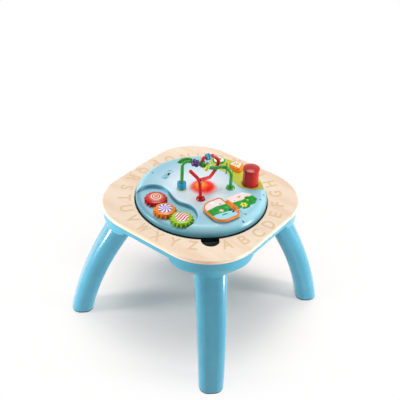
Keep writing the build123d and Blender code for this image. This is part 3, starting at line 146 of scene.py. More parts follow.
class Tree:
    """A shader's node tree, which starts empty."""

    def __init__(self, tree: bpy.types.NodeTree) -> None:
        """Empties the tree and keeps it."""
        self.tree = tree
        tree.nodes.clear()

    def feed(self, socket: bpy.types.NodeSocket, value: Any) -> None:
        """Sets or links one input.

        Args:
            socket: The input.
            value: A Val to link, or a plain value to set.
        """
        if isinstance(value, Val):
            self.tree.links.new(value.socket, socket)
        elif isinstance(value, tuple) and socket.type == "RGBA" and len(value) == 3:
            socket.default_value = (*value, 1.0)
        else:
            socket.default_value = value

    def node(self, kind: str, settings: dict | None = None, inputs: dict | None = None, out: Any = 0) -> Val:
        """Adds any node.

        Args:
            kind: The node's type.
            settings: Its properties, set first.
            inputs: Values or sockets by input name or index.
            out: Name or index of the output to return.

        Returns:
            The chosen output.
        """
        made = self.tree.nodes.new(kind)
        for key, value in (settings or {}).items():
            setattr(made, key, value)
        for key, value in (inputs or {}).items():
            self.feed(made.inputs[key], value)
        return Val(self, made.outputs[out])

    def seen(self) -> Val:
        """One for the rays that show a background: straight ones, mirrored ones and those through glass."""
        kinds = ("Is Camera Ray", "Is Glossy Ray", "Is Transmission Ray")
        straight, mirrored, through = (self.node("ShaderNodeLightPath", out=kind) for kind in kinds)
        return straight.math("MAXIMUM", mirrored).math("MAXIMUM", through)


class Shade(Tree):
    """One procedural material on a Principled shader."""

    def __init__(self, name: str) -> None:
        """Starts a material with an empty tree.

        Args:
            name: The material's name.
        """
        self.material = bpy.data.materials.new(name)
        self.material.use_nodes = True
        super().__init__(self.material.node_tree)
        self.output = self.tree.nodes.new("ShaderNodeOutputMaterial")
        self.surface = self.tree.nodes.new("ShaderNodeBsdfPrincipled")
        self.tree.links.new(self.surface.outputs[0], self.output.inputs[0])

    def place(self, origin: Point = (0, 0, 0), turn: float = 0.0, scale: Point = (1, 1, 1)) -> Val:
        """Object coordinates, moved to a place, turned about Z and scaled.

        Args:
            origin: The place that becomes zero.
            turn: Turn of the pattern about Z, in radians.
            scale: Scale along each axis.

        Returns:
            The vector.
        """
        coords = self.node("ShaderNodeTexCoord", out="Object")
        moved = self.node("ShaderNodeVectorMath", {"operation": "SUBTRACT"}, {0: coords, 1: origin})
        inputs = {"Vector": moved, "Angle": -turn}
        turned = self.node("ShaderNodeVectorRotate", {"rotation_type": "Z_AXIS"}, inputs)
        return self.node("ShaderNodeVectorMath", {"operation": "MULTIPLY"}, {0: turned, 1: scale})

    def axes(self, vector: Val) -> tuple[Val, Val, Val]:
        """The three parts of a vector."""
        split = self.node("ShaderNodeSeparateXYZ", None, {0: vector})
        return tuple(Val(self, out) for out in split.socket.node.outputs)

    def away(self, origin: Point = (0, 0, 0)) -> Val:
        """Distance in plan from a place, in metres."""
        x, y, _ = self.axes(self.place(origin))
        return (x * x + y * y).math("SQRT")

    def noise(self, vector: Val, scale: float, detail: float = 3.0, rough: float = 0.5) -> Val:
        """Fractal noise, about 0 to 1, with about scale waves to the metre."""
        inputs = {"Vector": vector, "Scale": scale, "Detail": detail, "Roughness": rough}
        return self.node("ShaderNodeTexNoise", None, inputs)

    def mix(self, factor: Any, first: Any, second: Any) -> Val:
        """Mixes two colours, where the factor is the share of the second."""
        return self.node("ShaderNodeMix", {"data_type": "RGBA"}, {0: factor, 6: first, 7: second}, 2)

    def clouded(self, place: Val, color: Color, scale: float, share: float, lift: float = 0.0) -> Val:
        """A colour that strays by a share either way in slow clouds, and gains a lift where it is palest."""
        clouds = self.noise(place, scale, CLOUD_DETAIL).step(*CLOUD_BAND)
        return self.mix(clouds, tone(color, 1 - share), tone(color, 1 + share, lift))

    def bump(self, height: Val, depth: float, strength: float = 1.0) -> Val:
        """Turns a height into a normal, where depth is the metres that 1 stands for."""
        return self.node("ShaderNodeBump", None, {"Height": height, "Distance": depth, "Strength": strength})

    def grained(self, place: Val, grain: "Grain", rough: float) -> tuple[Val, dict[str, Val]]:
        """A surface's fine grain.

        Args:
            place: Where to read it.
            grain: The grain.
            rough: The mean roughness.

        Returns:
            The grain's noise, and the roughness and normal as inputs of dress.
        """
        noise = self.noise(place, grain.scale, grain.detail, grain.fine)
        uneven = noise * grain.spread + (rough - grain.spread / 2)
        return noise, {"Roughness": uneven, "Normal": self.bump(noise, grain.depth)}

    def dress(self, **sockets: Any) -> bpy.types.Material:
        """Feeds the Principled shader.

        Args:
            sockets: Values by input name, with spaces written as underscores.

        Returns:
            The material.
        """
        for key, value in sockets.items():
            self.feed(self.surface.inputs[key.replace("_", " ")], value)
        return self.material


@dataclass(frozen=True)
class Grain:
    """A surface's noise: waves to the metre, octaves, share of the fine ones, depth, spread of roughness."""

    scale: float
    detail: float
    fine: float
    depth: float
    spread: float


MOULD = Grain(700.0, 3.0, 0.6, 0.000012, 0.08)
PRINT = Grain(1800.0, 2.0, 0.5, 0.00001, 0.1)
STEEL = Grain(900.0, 3.0, 0.5, 0.00002, 0.2)
RUBBER = Grain(1400.0, 3.0, 0.6, 0.00006, 0.2)
INK = Grain(420.0, 4.0, 0.6, 0.0, 0.15)


class Finish(Protocol):
    """Anything that makes a material."""

    def make(self) -> bpy.types.Material:
        """Builds the material."""


@dataclass(frozen=True)
class PlasticFinish:
    """Moulded plastic with a faint cloudiness and a fine moulded grain."""

    name: str
    color: Color
    rough: float = 0.30
    cloud: float = 0.03
    coat: float = 0.0
    ior: float = 1.34
    cloud_scale: float = 22.0
    cloud_lift: float = 0.01

    def make(self) -> bpy.types.Material:
        """Builds the material."""
        shade = Shade(self.name)
        place = shade.place()
        _, grain = shade.grained(place, MOULD, self.rough)
        return shade.dress(
            Base_Color=shade.clouded(place, self.color, self.cloud_scale, self.cloud, self.cloud_lift),
            Coat_Weight=self.coat,
            Coat_Roughness=COAT_ROUGH,
            Coat_IOR=COAT_IOR,
            IOR=self.ior,
            **grain,
        )


@dataclass(frozen=True)
class FrameFinish:
    """The frame's blue plastic, with painted shade: black in the round recess that holds the panel and dark
    grey-teal in the finger notch, where shadow falls.
    """

    name: str
    color: Color
    # Painted shade: black for the shadowed recess that holds the panel, dark grey-teal for the shadowed floor
    # of the finger notch.
    well_shade: Color
    pocket_shade: Color
    well_radius: float
    well_floor: float
    notch: Point
    notch_radius: float
    rough: float = 0.24
    cloud: float = 0.03
    cloud_scale: float = 18.0
    coat: float = 0.6
    ior: float = 1.36

    def make(self) -> bpy.types.Material:
        """Builds the material."""
        shade = Shade(self.name)
        place = shade.place()
        _, _, z = shade.axes(place)
        above = z > self.well_floor
        # Masks of the painted shade in the panel's recess and the finger notch; the coat is left off there.
        well_shade = (shade.away() < self.well_radius) * above
        pocket_shade = (shade.away(self.notch) < self.notch_radius) * above
        blue = shade.clouded(place, self.color, self.cloud_scale, self.cloud)
        _, grain = shade.grained(place, MOULD, self.rough)
        return shade.dress(
            Base_Color=shade.mix(well_shade, shade.mix(pocket_shade, blue, self.pocket_shade), self.well_shade),
            Coat_Weight=(1.0 - well_shade.math("MAXIMUM", pocket_shade)) * self.coat,
            Coat_Roughness=COAT_ROUGH,
            Coat_IOR=COAT_IOR,
            IOR=self.ior,
            **grain,
        )


@dataclass(frozen=True)
class Figure:
    """One noise of the wood: its stretch, waves to the metre, octaves, fine share, and how it shows."""

    stretch: Point
    scale: float
    detail: float
    fine: float
    band: Span
    share: float


@dataclass(frozen=True)
class WoodFinish:
    """Pale clear-coated ply with fine straight grain, darker pores and slow figure."""

    name: str
    pale: Color
    warm: Color
    pore: Color
    ply: Color
    top: float
    under: float
    swirl: Figure = Figure((1.5, 9.0, 9.0), 3.2, 5.0, 0.55, (0.32, 0.72), 1.0)
    fibre: Figure = Figure((0.03, 1.0, 1.0), 900.0, 4.0, 0.6, (0.35, 0.8), 0.35)
    pores: Figure = Figure((0.06, 1.0, 1.0), 1500.0, 2.0, 0.5, (0.64, 0.8), 0.4)
    fibre_depth: float = 0.00006
    relief: float = 0.6
    plies: int = 5
    ply_band: Span = (0.34, 0.48)
    ply_share: float = 0.35
    edge_round: float = 0.07
    rough: float = 0.36
    rough_spread: float = 0.16
    coat: float = 0.18
    coat_rough: float = 0.25

    def make(self) -> bpy.types.Material:
        """Builds the material."""
        shade = Shade(self.name)
        color: Any = self.pale
        noises = []
        for part, stain in ((self.swirl, self.warm), (self.fibre, self.warm), (self.pores, self.pore)):
            noise = shade.noise(shade.place(scale=part.stretch), part.scale, part.detail, part.fine)
            color = shade.mix(noise.step(*part.band) * part.share, color, stain)
            noises.append(noise)
        _, _, z = shade.axes(shade.place())
        level = (z - self.under) / (self.top - self.under)
        layers = ((level * float(self.plies)).math("FRACT") - 0.5).math("ABSOLUTE").step(*self.ply_band)
        edge = (level < 1 - self.edge_round) * (level > self.edge_round)
        _, fibre, _ = noises
        return shade.dress(
            Base_Color=shade.mix(layers * edge * self.ply_share, color, self.ply),
            Roughness=fibre * self.rough_spread + self.rough,
            Normal=shade.bump(fibre, self.fibre_depth, self.relief),
            Coat_Weight=self.coat,
            Coat_Roughness=self.coat_rough,
        )


@dataclass(frozen=True)
class PanelFinish:
    """Pale blue panel plastic with painted light and shade: a painted white sheen and a painted red glow
    round the light, painted shade on the terrace's walls and rim, and painted shadow at its base.
    """

    name: str
    blue: Color
    # Painted shade on the terrace's walls.
    wall_shade: Color
    # Painted shade on the rounded rim, strongest low on it.
    rim_shade: Color
    # Pale tone, used for random clouds and for the painted sheen near the light.
    pale: Color
    # Painted red glow of the light, cast on the panel round the lens.
    painted_glow: Color
    # Painted shadow: black for the dark gap at the panel's base, grey-teal lower down for the shadowed frame
    # floor seen through the finger notch.
    foot_shadow: Color
    skirt_shade: Color
    light: Point
    # Centre of the painted sheen, set off the light.
    pool: Point
    glow: Span
    terrace: float
    rim: float
    foot_height: float
    skirt_height: float
    pool_reach: Span = (0.040, 0.124)
    flat_drop: Span = (0.003, 0.0005)
    wall_rise: Span = (0.0004, 0.004)
    wall_drop: Span = (0.004, 0.0006)
    wall_inset: Span = (0.022, 0.012)
    side_drop: Span = (0.022, 0.0)
    side_inset: Span = (0.016, 0.006)
    foot_inset: float = 0.004
    line_blur: float = 0.0003
    pool_share: float = 0.95
    wall_share: float = 0.9
    side_share: float = 0.88
    cloud_share: float = 0.08
    cloud_scale: float = 16.0
    rough: float = 0.28
    ior: float = 1.36

    def rise(self, value: Val, edge: float, below: Span) -> Val:
        """Rises smoothly between two distances below an edge."""
        return value.step(edge - below[0], edge - below[1])

    def under(self, height: Val, line: float) -> Val:
        """One below the edge of a painted shadow, which is a little soft."""
        return 1.0 - height.step(line - self.line_blur, line + self.line_blur)

    def make(self) -> bpy.types.Material:
        """Builds the material."""
        shade = Shade(self.name)
        place = shade.place()
        _, _, z = shade.axes(place)
        out = shade.away()
        top = self.light[2]
        flat = self.rise(z, top, self.flat_drop)
        # Painted sheen: pale on the flat top near the light.
        painted_sheen = (1.0 - shade.away(self.pool).step(*self.pool_reach)) * flat
        # Painted red glow on the flat top just outside the lens.
        painted_glow = (1.0 - shade.away(self.light).step(*self.glow)) * flat
        # Painted shade: the terrace's walls, and the rim towards its lower edge.
        climb = z.step(self.terrace + self.wall_rise[0], self.terrace + self.wall_rise[1])
        wall_shade = climb * (1.0 - self.rise(z, top, self.wall_drop))
        inner = 1.0 - self.rise(out, self.rim, self.wall_inset)
        side = (1.0 - self.rise(z, top, self.side_drop)) * self.rise(out, self.rim, self.side_inset)
        # Painted shadow at the panel's base, grey-teal at the very bottom.
        foot_shadow = self.under(z, self.foot_height) * (out > self.rim - self.foot_inset)
        skirt_shade = self.under(z, self.skirt_height) * foot_shadow
        cloud = shade.noise(place, self.cloud_scale, CLOUD_DETAIL).step(*CLOUD_BAND)
        color: Any = self.blue
        # Random clouds of pale tone first; the later layers are painted shade, painted sheen, painted glow
        # and painted shadow.
        for share, layer in (
            (cloud * self.cloud_share, self.pale),
            (wall_shade * inner * self.wall_share, self.wall_shade),
            (side * self.side_share, self.rim_shade),
            (painted_sheen * self.pool_share, self.pale),
            (painted_glow, self.painted_glow),
            (foot_shadow, self.foot_shadow),
            (skirt_shade, self.skirt_shade),
        ):
            color = shade.mix(share, color, layer)
        _, grain = shade.grained(place, MOULD, self.rough)
        return shade.dress(Base_Color=color, IOR=self.ior, **grain)


@dataclass(frozen=True)
class LensFinish:
    """Milky light window that glows amber over its lamp and red around it."""

    name: str
    milk: Color
    red: Color
    amber: Color
    center: Point
    lamp: Point
    glow: Span
    core: Span = (0.003, 0.021)
    ripple: float = 0.012
    ripple_scale: float = 60.0
    facet_scale: float = 160.0
    facet_depth: float = 0.0002
    facet_strength: float = 0.25
    rough: float = 0.25
    unlit: float = 0.25
    power: float = 0.84
    ior: float = 1.22

    def make(self) -> bpy.types.Material:
        """Builds the material."""
        shade = Shade(self.name)
        vector = shade.place(self.center)
        glow = 1.0 - shade.away(self.center).step(*self.glow)
        ripple = (shade.noise(vector, self.ripple_scale, 3.0) - 0.5) * self.ripple
        core = 1.0 - (shade.away(self.lamp) + ripple).step(*self.core)
        inputs = {"Vector": vector, "Scale": self.facet_scale}
        facets = shade.node("ShaderNodeTexVoronoi", {"feature": "F1"}, inputs)
        return shade.dress(
            Base_Color=shade.mix(glow, self.milk, tone(self.red, self.unlit)),
            Roughness=self.rough,
            Emission_Color=shade.mix(glow, (0.0, 0.0, 0.0), shade.mix(core, self.red, self.amber)),
            Emission_Strength=self.power,
            Normal=shade.bump(facets, self.facet_depth, self.facet_strength),
            IOR=self.ior,
        )


@dataclass(frozen=True)
class UnevenFinish:
    """Two near colours that a fine grain mixes: plated steel, rubber or ink."""

    name: str
    dark: Color
    pale: Color
    grain: Grain
    rough: float
    band: Span = CLOUD_BAND
    metallic: float = 0.0

    def make(self) -> bpy.types.Material:
        """Builds the material."""
        shade = Shade(self.name)
        noise, grain = shade.grained(shade.place(), self.grain, self.rough)
        color = shade.mix(noise.step(*self.band), self.dark, self.pale)
        return shade.dress(Base_Color=color, Metallic=self.metallic, **grain)


def ink(name: str, color: Color, rough: float, thick: float = 0.9) -> bpy.types.Material:
    """Makes flat printed or burnt-in ink, a little darker where it is thick."""
    return UnevenFinish(name, tone(color, thick), color, INK, rough, (0.25, 0.75)).make()


class Scene(Enum):
    """Which printed picture a plate carries."""

    PAGE = "page"
    LEFT = "left"
    RIGHT = "right"


@dataclass(frozen=True)
class Blot:
    """One small printed shape: an oval, or a flower when it has petals."""

    along: float
    across: float
    long: float
    wide: float
    color: Color
    petals: int = 0
    heart: Color = srgb(236, 120, 48)


@dataclass(frozen=True)
class PictureFinish:
    """A printed plate: pale sky, a green meadow, a light stream and simple round flowers."""

    name: str
    scene: Scene
    origin: Point
    turn: float
    sky: Color = srgb(250, 234, 232)
    cloud: Color = srgb(255, 255, 252)
    leaf: Color = srgb(12, 150, 54)
    grass: Color = srgb(62, 184, 64)
    stream: Color = srgb(150, 222, 240)
    petal: Color = srgb(246, 216, 74)
    dark: Color = srgb(26, 58, 66)
    hill_wave: Span = (130.0, 0.0014)
    shore_wave: Span = (90.0, 0.0018)
    puff_scale: float = 62.0
    puff_soft: float = 0.4
    puff_band: Span = (0.26, 0.42)
    tuft_scale: float = 130.0
    tuft_band: Span = (0.52, 0.6)
    tuft_share: float = 0.55
    bloom_wave: float = 1100.0
    bloom_cut: float = 0.1
    bloom_rise: float = 0.0014
    bloom_half: float = 0.0013
    ripple_wave: float = 1500.0
    ripple_bend: Span = (160.0, 2.0)
    ripple_cut: float = 0.86
    ripple_share: float = 0.7
    lobe: float = 0.18
    heart_share: float = 0.3
    rough: float = 0.31
    ior: float = 1.3
    levels: ClassVar[dict[Scene, Span]] = {
        Scene.PAGE: (-0.013, 0.012),
        Scene.LEFT: (-0.012, 0.013),
        Scene.RIGHT: (-0.012, 0.014),
    }

    def blots(self) -> tuple[Blot, ...]:
        """The small shapes of this plate, in printing order."""
        pink, peach, lime = srgb(250, 190, 200), srgb(250, 196, 164), srgb(244, 236, 96)
        if self.scene is Scene.RIGHT:
            return (
                Blot(-0.019, 0.021, 0.0034, 0.0034, pink, 5, srgb(190, 120, 190)),
                Blot(-0.024, 0.038, 0.0030, 0.0044, srgb(232, 168, 60)),
                Blot(-0.013, 0.052, 0.0036, 0.0060, self.leaf),
                Blot(0.016, 0.028, 0.0042, 0.0110, self.leaf),
                Blot(0.006, 0.029, 0.0094, 0.0094, lime, 6),
                Blot(-0.004, 0.048, 0.0030, 0.0030, self.petal, 5),
                Blot(0.002, 0.012, 0.0026, 0.0040, self.grass),
            )
        return (
            Blot(-0.017, -0.021, 0.0040, 0.0032, srgb(206, 196, 214)),
            Blot(0.004, -0.034, 0.0058, 0.0058, peach, 5, srgb(250, 240, 226)),
            Blot(0.0, -0.016, 0.0030, 0.0050, self.grass),
            Blot(0.019, -0.036, 0.0020, 0.0082, self.leaf),
            Blot(0.013, -0.016, 0.0034, 0.0042, self.dark),
            Blot(0.017, -0.009, 0.0042, 0.0040, self.dark),
            Blot(0.021, -0.014, 0.0030, 0.0034, srgb(120, 52, 44)),
        )

    def make(self) -> bpy.types.Material:
        """Builds the material."""
        shade = Shade(self.name)
        vector = shade.place(self.origin, self.turn)
        u, v, _ = shade.axes(vector)
        horizon, shore = self.levels[self.scene]
        hills = u + v.wave(*self.hill_wave)
        meadow = hills > horizon
        water = (u + v.wave(*self.shore_wave)) > shore
        inputs = {"Vector": vector, "Scale": self.puff_scale, "Smoothness": self.puff_soft}
        puffs = shade.node("ShaderNodeTexVoronoi", {"feature": "SMOOTH_F1"}, inputs)
        tufts = shade.noise(vector, self.tuft_scale, 2.0).step(*self.tuft_band)
        crest = (hills - (horizon - self.bloom_rise)).math("ABSOLUTE") < self.bloom_half
        blooms = (v.wave(self.bloom_wave) > self.bloom_cut) * crest
        crests = (u * self.ripple_wave + v.wave(*self.ripple_bend)).math("SINE")
        ripples = (crests > self.ripple_cut) * water
        color: Any = self.sky
        for share, layer in (
            (1.0 - puffs.step(*self.puff_band), self.cloud),
            (meadow, self.leaf),
            (tufts * meadow * self.tuft_share, self.grass),
            (blooms, self.petal),
            (water, self.stream),
            (ripples * self.ripple_share, self.cloud),
        ):
            color = shade.mix(share, color, layer)
        for blot in self.blots():
            color = self.printed(shade, color, blot, u, v)
        _, grain = shade.grained(vector, PRINT, self.rough)
        return shade.dress(Base_Color=color, IOR=self.ior, **grain)

    def printed(self, shade: Shade, color: Val, blot: Blot, u: Val, v: Val) -> Val:
        """Prints one small shape over a colour.

        Args:
            shade: The material.
            color: The colour below.
            blot: The shape.
            u: Place along the spine.
            v: Place across it.

        Returns:
            The colour with the shape on it.
        """
        du, dv = (u - blot.along) / blot.long, (v - blot.across) / blot.wide
        away = (du * du + dv * dv).math("SQRT")
        if not blot.petals:
            return shade.mix(away < 1.0, color, blot.color)
        spin = dv.math("ARCTAN2", du) * float(blot.petals)
        color = shade.mix(away < spin.math("COSINE") * self.lobe + (1 - self.lobe), color, blot.color)
        return shade.mix(away < self.heart_share, color, blot.heart)


class Badge(Enum):
    """The pattern of a small round print."""

    RINGS = "rings"
    WHEEL = "wheel"
    STRIPES = "stripes"
    FLOWER = "flower"


@dataclass(frozen=True)
class BadgeFinish:
    """A small round print in two colours."""

    name: str
    badge: Badge
    center: Point
    ground: Color
    figure: Color
    reach: float = 1.0
    petals: int = 5
    lobe: float = 0.2
    heart_share: float = 0.3
    vanes: int = 9
    vane_sweep: float = 300.0
    stripe_wave: float = 1050.0
    stripe_bend: Span = (190.0, 0.0012)
    ring_wave: float = 1120.0
    ring_cut: float = 0.1
    rough: float = 0.29

    def mask(self, x: Val, y: Val, away: Val) -> Val:
        """Where the figure's colour is printed.

        Args:
            x: Place across the print.
            y: Place along it.
            away: Distance from its middle.

        Returns:
            One inside the figure, else zero.
        """
        if self.badge is Badge.FLOWER:
            spin = y.math("ARCTAN2", x) * float(self.petals)
            lobes = spin.math("COSINE") * (self.reach * self.lobe) + self.reach * (1 - self.lobe)
            return (away < lobes) * (away > self.reach * self.heart_share)
        if self.badge is Badge.WHEEL:
            sweep = y.math("ARCTAN2", x) * float(self.vanes) + away * self.vane_sweep
            return sweep.math("SINE") > 0.0
        if self.badge is Badge.STRIPES:
            return (x + y.wave(*self.stripe_bend)).wave(self.stripe_wave) > 0.0
        return (away * self.ring_wave).math("COSINE") > self.ring_cut

    def make(self) -> bpy.types.Material:
        """Builds the material."""
        shade = Shade(self.name)
        vector = shade.place(self.center)
        x, y, _ = shade.axes(vector)
        away = shade.away(self.center)
        printed = self.mask(x, y, away) * (away < self.reach)
        _, grain = shade.grained(vector, PRINT, self.rough)
        return shade.dress(Base_Color=shade.mix(printed, self.ground, self.figure), **grain)


def finished_mesh(name: str, mesh: bpy.types.Mesh, material: bpy.types.Material) -> bpy.types.Object:
    """Puts a mesh into the scene at the origin.

    Args:
        name: The piece's name.
        mesh: Its mesh, in place.
        material: Its material.

    Returns:
        The object.
    """
    piece = bpy.data.objects.new(name, mesh)
    mesh.materials.clear()
    mesh.materials.append(material)
    bpy.context.scene.collection.objects.link(piece)
    return piece


def piece_from(
    build: bmesh.types.BMesh, name: str, material: bpy.types.Material, smooth: bool = True
) -> bpy.types.Object:
    """Turns a bmesh into a piece with outward faces.

    Args:
        build: The bmesh, freed here.
        name: The piece's name.
        material: Its material.
        smooth: Whether its faces shade smoothly.

    Returns:
        The object.
    """
    bmesh.ops.remove_doubles(build, verts=build.verts, dist=1e-7)
    bmesh.ops.recalc_face_normals(build, faces=build.faces)
    for face in build.faces:
        face.smooth = smooth
    mesh = bpy.data.meshes.new(name)
    build.to_mesh(mesh)
    build.free()
    return finished_mesh(name, mesh, material)


def baked(source: bpy.types.Object) -> bpy.types.Mesh:
    """Evaluates an object in the scene and removes it again.

    Args:
        source: The object.

    Returns:
        Its evaluated mesh.
    """
    bpy.context.scene.collection.objects.link(source)
    graph = bpy.context.evaluated_depsgraph_get()
    graph.update()
    mesh = bpy.data.meshes.new_from_object(source.evaluated_get(graph))
    source.modifiers.clear()
    bpy.data.objects.remove(source)
    return mesh


def join_rows(sheet: bmesh.types.BMesh, rows: Sequence[Sequence[bmesh.types.BMVert]]) -> None:
    """Joins closed rows of points, each to the next, with faces.

    Args:
        sheet: The bmesh that holds the points.
        rows: The rows, from the inside out.
    """
    for inner, outer in zip(rows, rows[1:]):
        for a in range(len(inner)):
            b = (a + 1) % len(inner)
            sheet.faces.new([inner[a], outer[a], outer[b], inner[b]])


def center_of(node: str) -> Vector:
    """Middle of a CAD node's box."""
    low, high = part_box(node)
    return (Vector(low) + Vector(high)) / 2


@dataclass
class ScrewMarks:
    """Dark crosses on the screw heads that show from below, painted shade standing in for their cross
    recesses, made by one Geometry Nodes tree.
    """

    length: float = 0.0042
    width: float = 0.0009
    depth: float = 0.0003
    seed: int = 7
    top_reach: float = 0.1777
    top_side: float = 0.028
    top_sides: int = 4
    shell_reach: float = 0.139
    shell_first_degrees: float = 8.0
    shell_count: int = 6

    def top_spots(self) -> list[Span]:
        """Places in plan of the screws that hold the wood, two on each side of the frame."""
        spots = []
        for side in range(self.top_sides):
            angle = 2 * math.pi / self.top_sides * side
            for across in (self.top_side, -self.top_side):
                x = self.top_reach * math.cos(angle) - across * math.sin(angle)
                y = self.top_reach * math.sin(angle) + across * math.cos(angle)
                spots.append((x, y))
        return spots

    def shell_spots(self) -> list[Span]:
        """Places in plan of the screws that hold the panel's two shells together."""
        turn = 360 / self.shell_count
        angles = [math.radians(self.shell_first_degrees + turn * index) for index in range(self.shell_count)]
        return [(self.shell_reach * math.cos(angle), self.shell_reach * math.sin(angle)) for angle in angles]

    def tree(self) -> bpy.types.GeometryNodeTree:
        """Builds the tree that sets a cross on every point."""
        group = bpy.data.node_groups.new("screw_crosses", "GeometryNodeTree")
        face = group.interface
        face.new_socket("Geometry", in_out="INPUT", socket_type="NodeSocketGeometry")
        for label in ("Length", "Width", "Depth"):
            face.new_socket(label, in_out="INPUT", socket_type="NodeSocketFloat")
        face.new_socket("Ink", in_out="INPUT", socket_type="NodeSocketMaterial")
        face.new_socket("Geometry", in_out="OUTPUT", socket_type="NodeSocketGeometry")
        nodes, links = group.nodes, group.links
        start, end = nodes.new("NodeGroupInput"), nodes.new("NodeGroupOutput")
        cross = nodes.new("GeometryNodeJoinGeometry")
        for order in (("Length", "Width", "Depth"), ("Width", "Length", "Depth")):
            size, bar = nodes.new("ShaderNodeCombineXYZ"), nodes.new("GeometryNodeMeshCube")
            for index, label in enumerate(order):
                links.new(start.outputs[label], size.inputs[index])
            links.new(size.outputs[0], bar.inputs["Size"])
            links.new(bar.outputs["Mesh"], cross.inputs[0])
        turn = nodes.new("FunctionNodeRandomValue")
        turn.data_type = "FLOAT"
        turn.inputs["Seed"].default_value = self.seed
        turn.inputs[2].default_value, turn.inputs[3].default_value = 0.0, math.pi
        angle = nodes.new("ShaderNodeCombineXYZ")
        links.new(turn.outputs[1], angle.inputs[2])
        spread = nodes.new("GeometryNodeInstanceOnPoints")
        links.new(start.outputs["Geometry"], spread.inputs["Points"])
        links.new(cross.outputs[0], spread.inputs["Instance"])
        links.new(angle.outputs[0], spread.inputs["Rotation"])
        real, ink = nodes.new("GeometryNodeRealizeInstances"), nodes.new("GeometryNodeSetMaterial")
        links.new(spread.outputs[0], real.inputs[0])
        links.new(real.outputs[0], ink.inputs["Geometry"])
        links.new(start.outputs["Ink"], ink.inputs["Material"])
        links.new(ink.outputs[0], end.inputs[0])
        return group

    def mark(self, name: str, screws: str, spots: Sequence[Span], body: str, ink: bpy.types.Material) -> None:
        """Makes the crosses of one body's screws.

        Args:
            name: The piece's name.
            screws: The screws' CAD node, whose lowest face carries the crosses.
            spots: Middle of each cross in plan.
            body: The body they ride on.
            ink: Their material.
        """
        low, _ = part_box(screws)
        points = bpy.data.meshes.new(name + "_points")
        points.from_pydata([(x, y, low[2]) for x, y in spots], [], [])
        carrier = bpy.data.objects.new(name + "_carrier", points)
        modifier = carrier.modifiers.new("crosses", "NODES")
        group = self.tree()
        modifier.node_group = group
        values = {"Length": self.length, "Width": self.width, "Depth": self.depth, "Ink": ink}
        for item in group.interface.items_tree:
            if item.in_out == "INPUT" and item.name in values:
                modifier[item.identifier] = values[item.name]
        piece = finished_mesh(name, baked(carrier), ink)
        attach(piece, body)
        log.info("built %s on %s", name, body)

    def build(self, ink: bpy.types.Material) -> None:
        """Marks the screws of the table and of the panel."""
        self.mark("top_screw_crosses", "top_screws", self.top_spots(), "table", ink)
        self.mark("shell_screw_crosses", "shell_screws", self.shell_spots(), "panel", ink)


@dataclass
class WoodRing:
    """The alphabet burnt into the wooden top."""

    letters: str = "ABCDEFGHIJKLMNOPQRSTUVWXYZ"
    reach: float = 0.1785
    first_degrees: float = -34.2
    step_degrees: float = 13.45
    height: float = 0.0305
    widest: float = 0.0240
    weight: float = 0.0007
    light_letters: str = "M"
    light_weight: float = 0.0
    proud: float = 0.00012
    sink: float = 0.0006
    type_size: float = 0.03
    curve_steps: int = 6

    def letter_mesh(self, letter: str) -> bpy.types.Mesh:
        """One flat letter as a thin plate with its middle at the origin.

        Args:
            letter: The letter.

        Returns:
            The mesh.
        """
        curve = bpy.data.curves.new("letter", "FONT")
        curve.body = letter
        curve.size = self.type_size
        curve.offset = self.light_weight if letter in self.light_letters else self.weight
        curve.extrude = (self.proud + self.sink) / 2
        curve.resolution_u = self.curve_steps
        curve.align_x = "CENTER"
        mesh = baked(bpy.data.objects.new("letter", curve))
        xs = [v.co.x for v in mesh.vertices]
        ys = [v.co.y for v in mesh.vertices]
        tall = self.height / (max(ys) - min(ys))
        wide = min(tall, self.widest / (max(xs) - min(xs)))
        shift = Vector(((max(xs) + min(xs)) / -2, (max(ys) + min(ys)) / -2, 0))
        mesh.transform(Matrix.Diagonal((wide, tall, 1, 1)) @ Matrix.Translation(shift))
        return mesh

    def build(self, top: float, ink: bpy.types.Material) -> None:
        """Sets the letters round the ring.

        Args:
            top: Height of the wood's face.
            ink: The letters' material.
        """
        whole = bmesh.new()
        for index, letter in enumerate(self.letters):
            angle = math.radians(self.first_degrees + self.step_degrees * index)
            outward = Vector((math.cos(angle), math.sin(angle), 0))
            across = Vector((-math.sin(angle), math.cos(angle), 0))
            mesh = self.letter_mesh(letter)
            spot = outward * self.reach + Vector((0, 0, top + (self.proud - self.sink) / 2))
            place = Matrix((across, -outward, Vector((0, 0, 1)))).transposed().to_4x4()
            place.translation = spot
            mesh.transform(place)
            whole.from_mesh(mesh)
            bpy.data.meshes.remove(mesh)
        piece = piece_from(whole, "ring_letters", ink, False)
        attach(piece, "table")
        log.info("built ring_letters on table")


@dataclass
class GearPrints:
    """Round prints on the crowned caps of the three gears."""

    radius: float = 0.0168
    rings: int = 10
    spokes: int = 48
    crown_radius: float = 0.0225
    crown_rise: float = 0.003
    lift: float = 0.00012

    def build(self, color: str, badge: Badge, ground: Color, figure: Color) -> None:
        """Lays a print over one cap.

        Args:
            color: The gear's colour word in the node names.
            badge: The print's pattern.
            ground: Its ground colour.
            figure: Its figure's colour.
        """
        _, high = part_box(f"gear_cap_{color}")
        middle = center_of(f"gear_cap_{color}")
        ball = (self.crown_radius**2 + self.crown_rise**2) / (2 * self.crown_rise)
        angles = [2 * math.pi * spoke / self.spokes for spoke in range(self.spokes)]
        sheet = bmesh.new()
        rows = []
        for ring in range(self.rings + 1):
            away = self.radius * ring / self.rings
            height = high[2] - ball + math.sqrt(ball**2 - away**2)
            height += self.lift if ring < self.rings else -self.lift
            spots = [(away * math.cos(angle), away * math.sin(angle)) for angle in angles]
            rows.append([sheet.verts.new((middle.x + x, middle.y + y, height)) for x, y in spots])
        join_rows(sheet, rows)
        finish = BadgeFinish(f"badge_{color}", badge, tuple(middle), ground, figure).make()
        piece = piece_from(sheet, f"gear_print_{color}", finish)
        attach(piece, f"gear_{color}")
        log.info("built gear_print_%s on gear_%s", color, color)


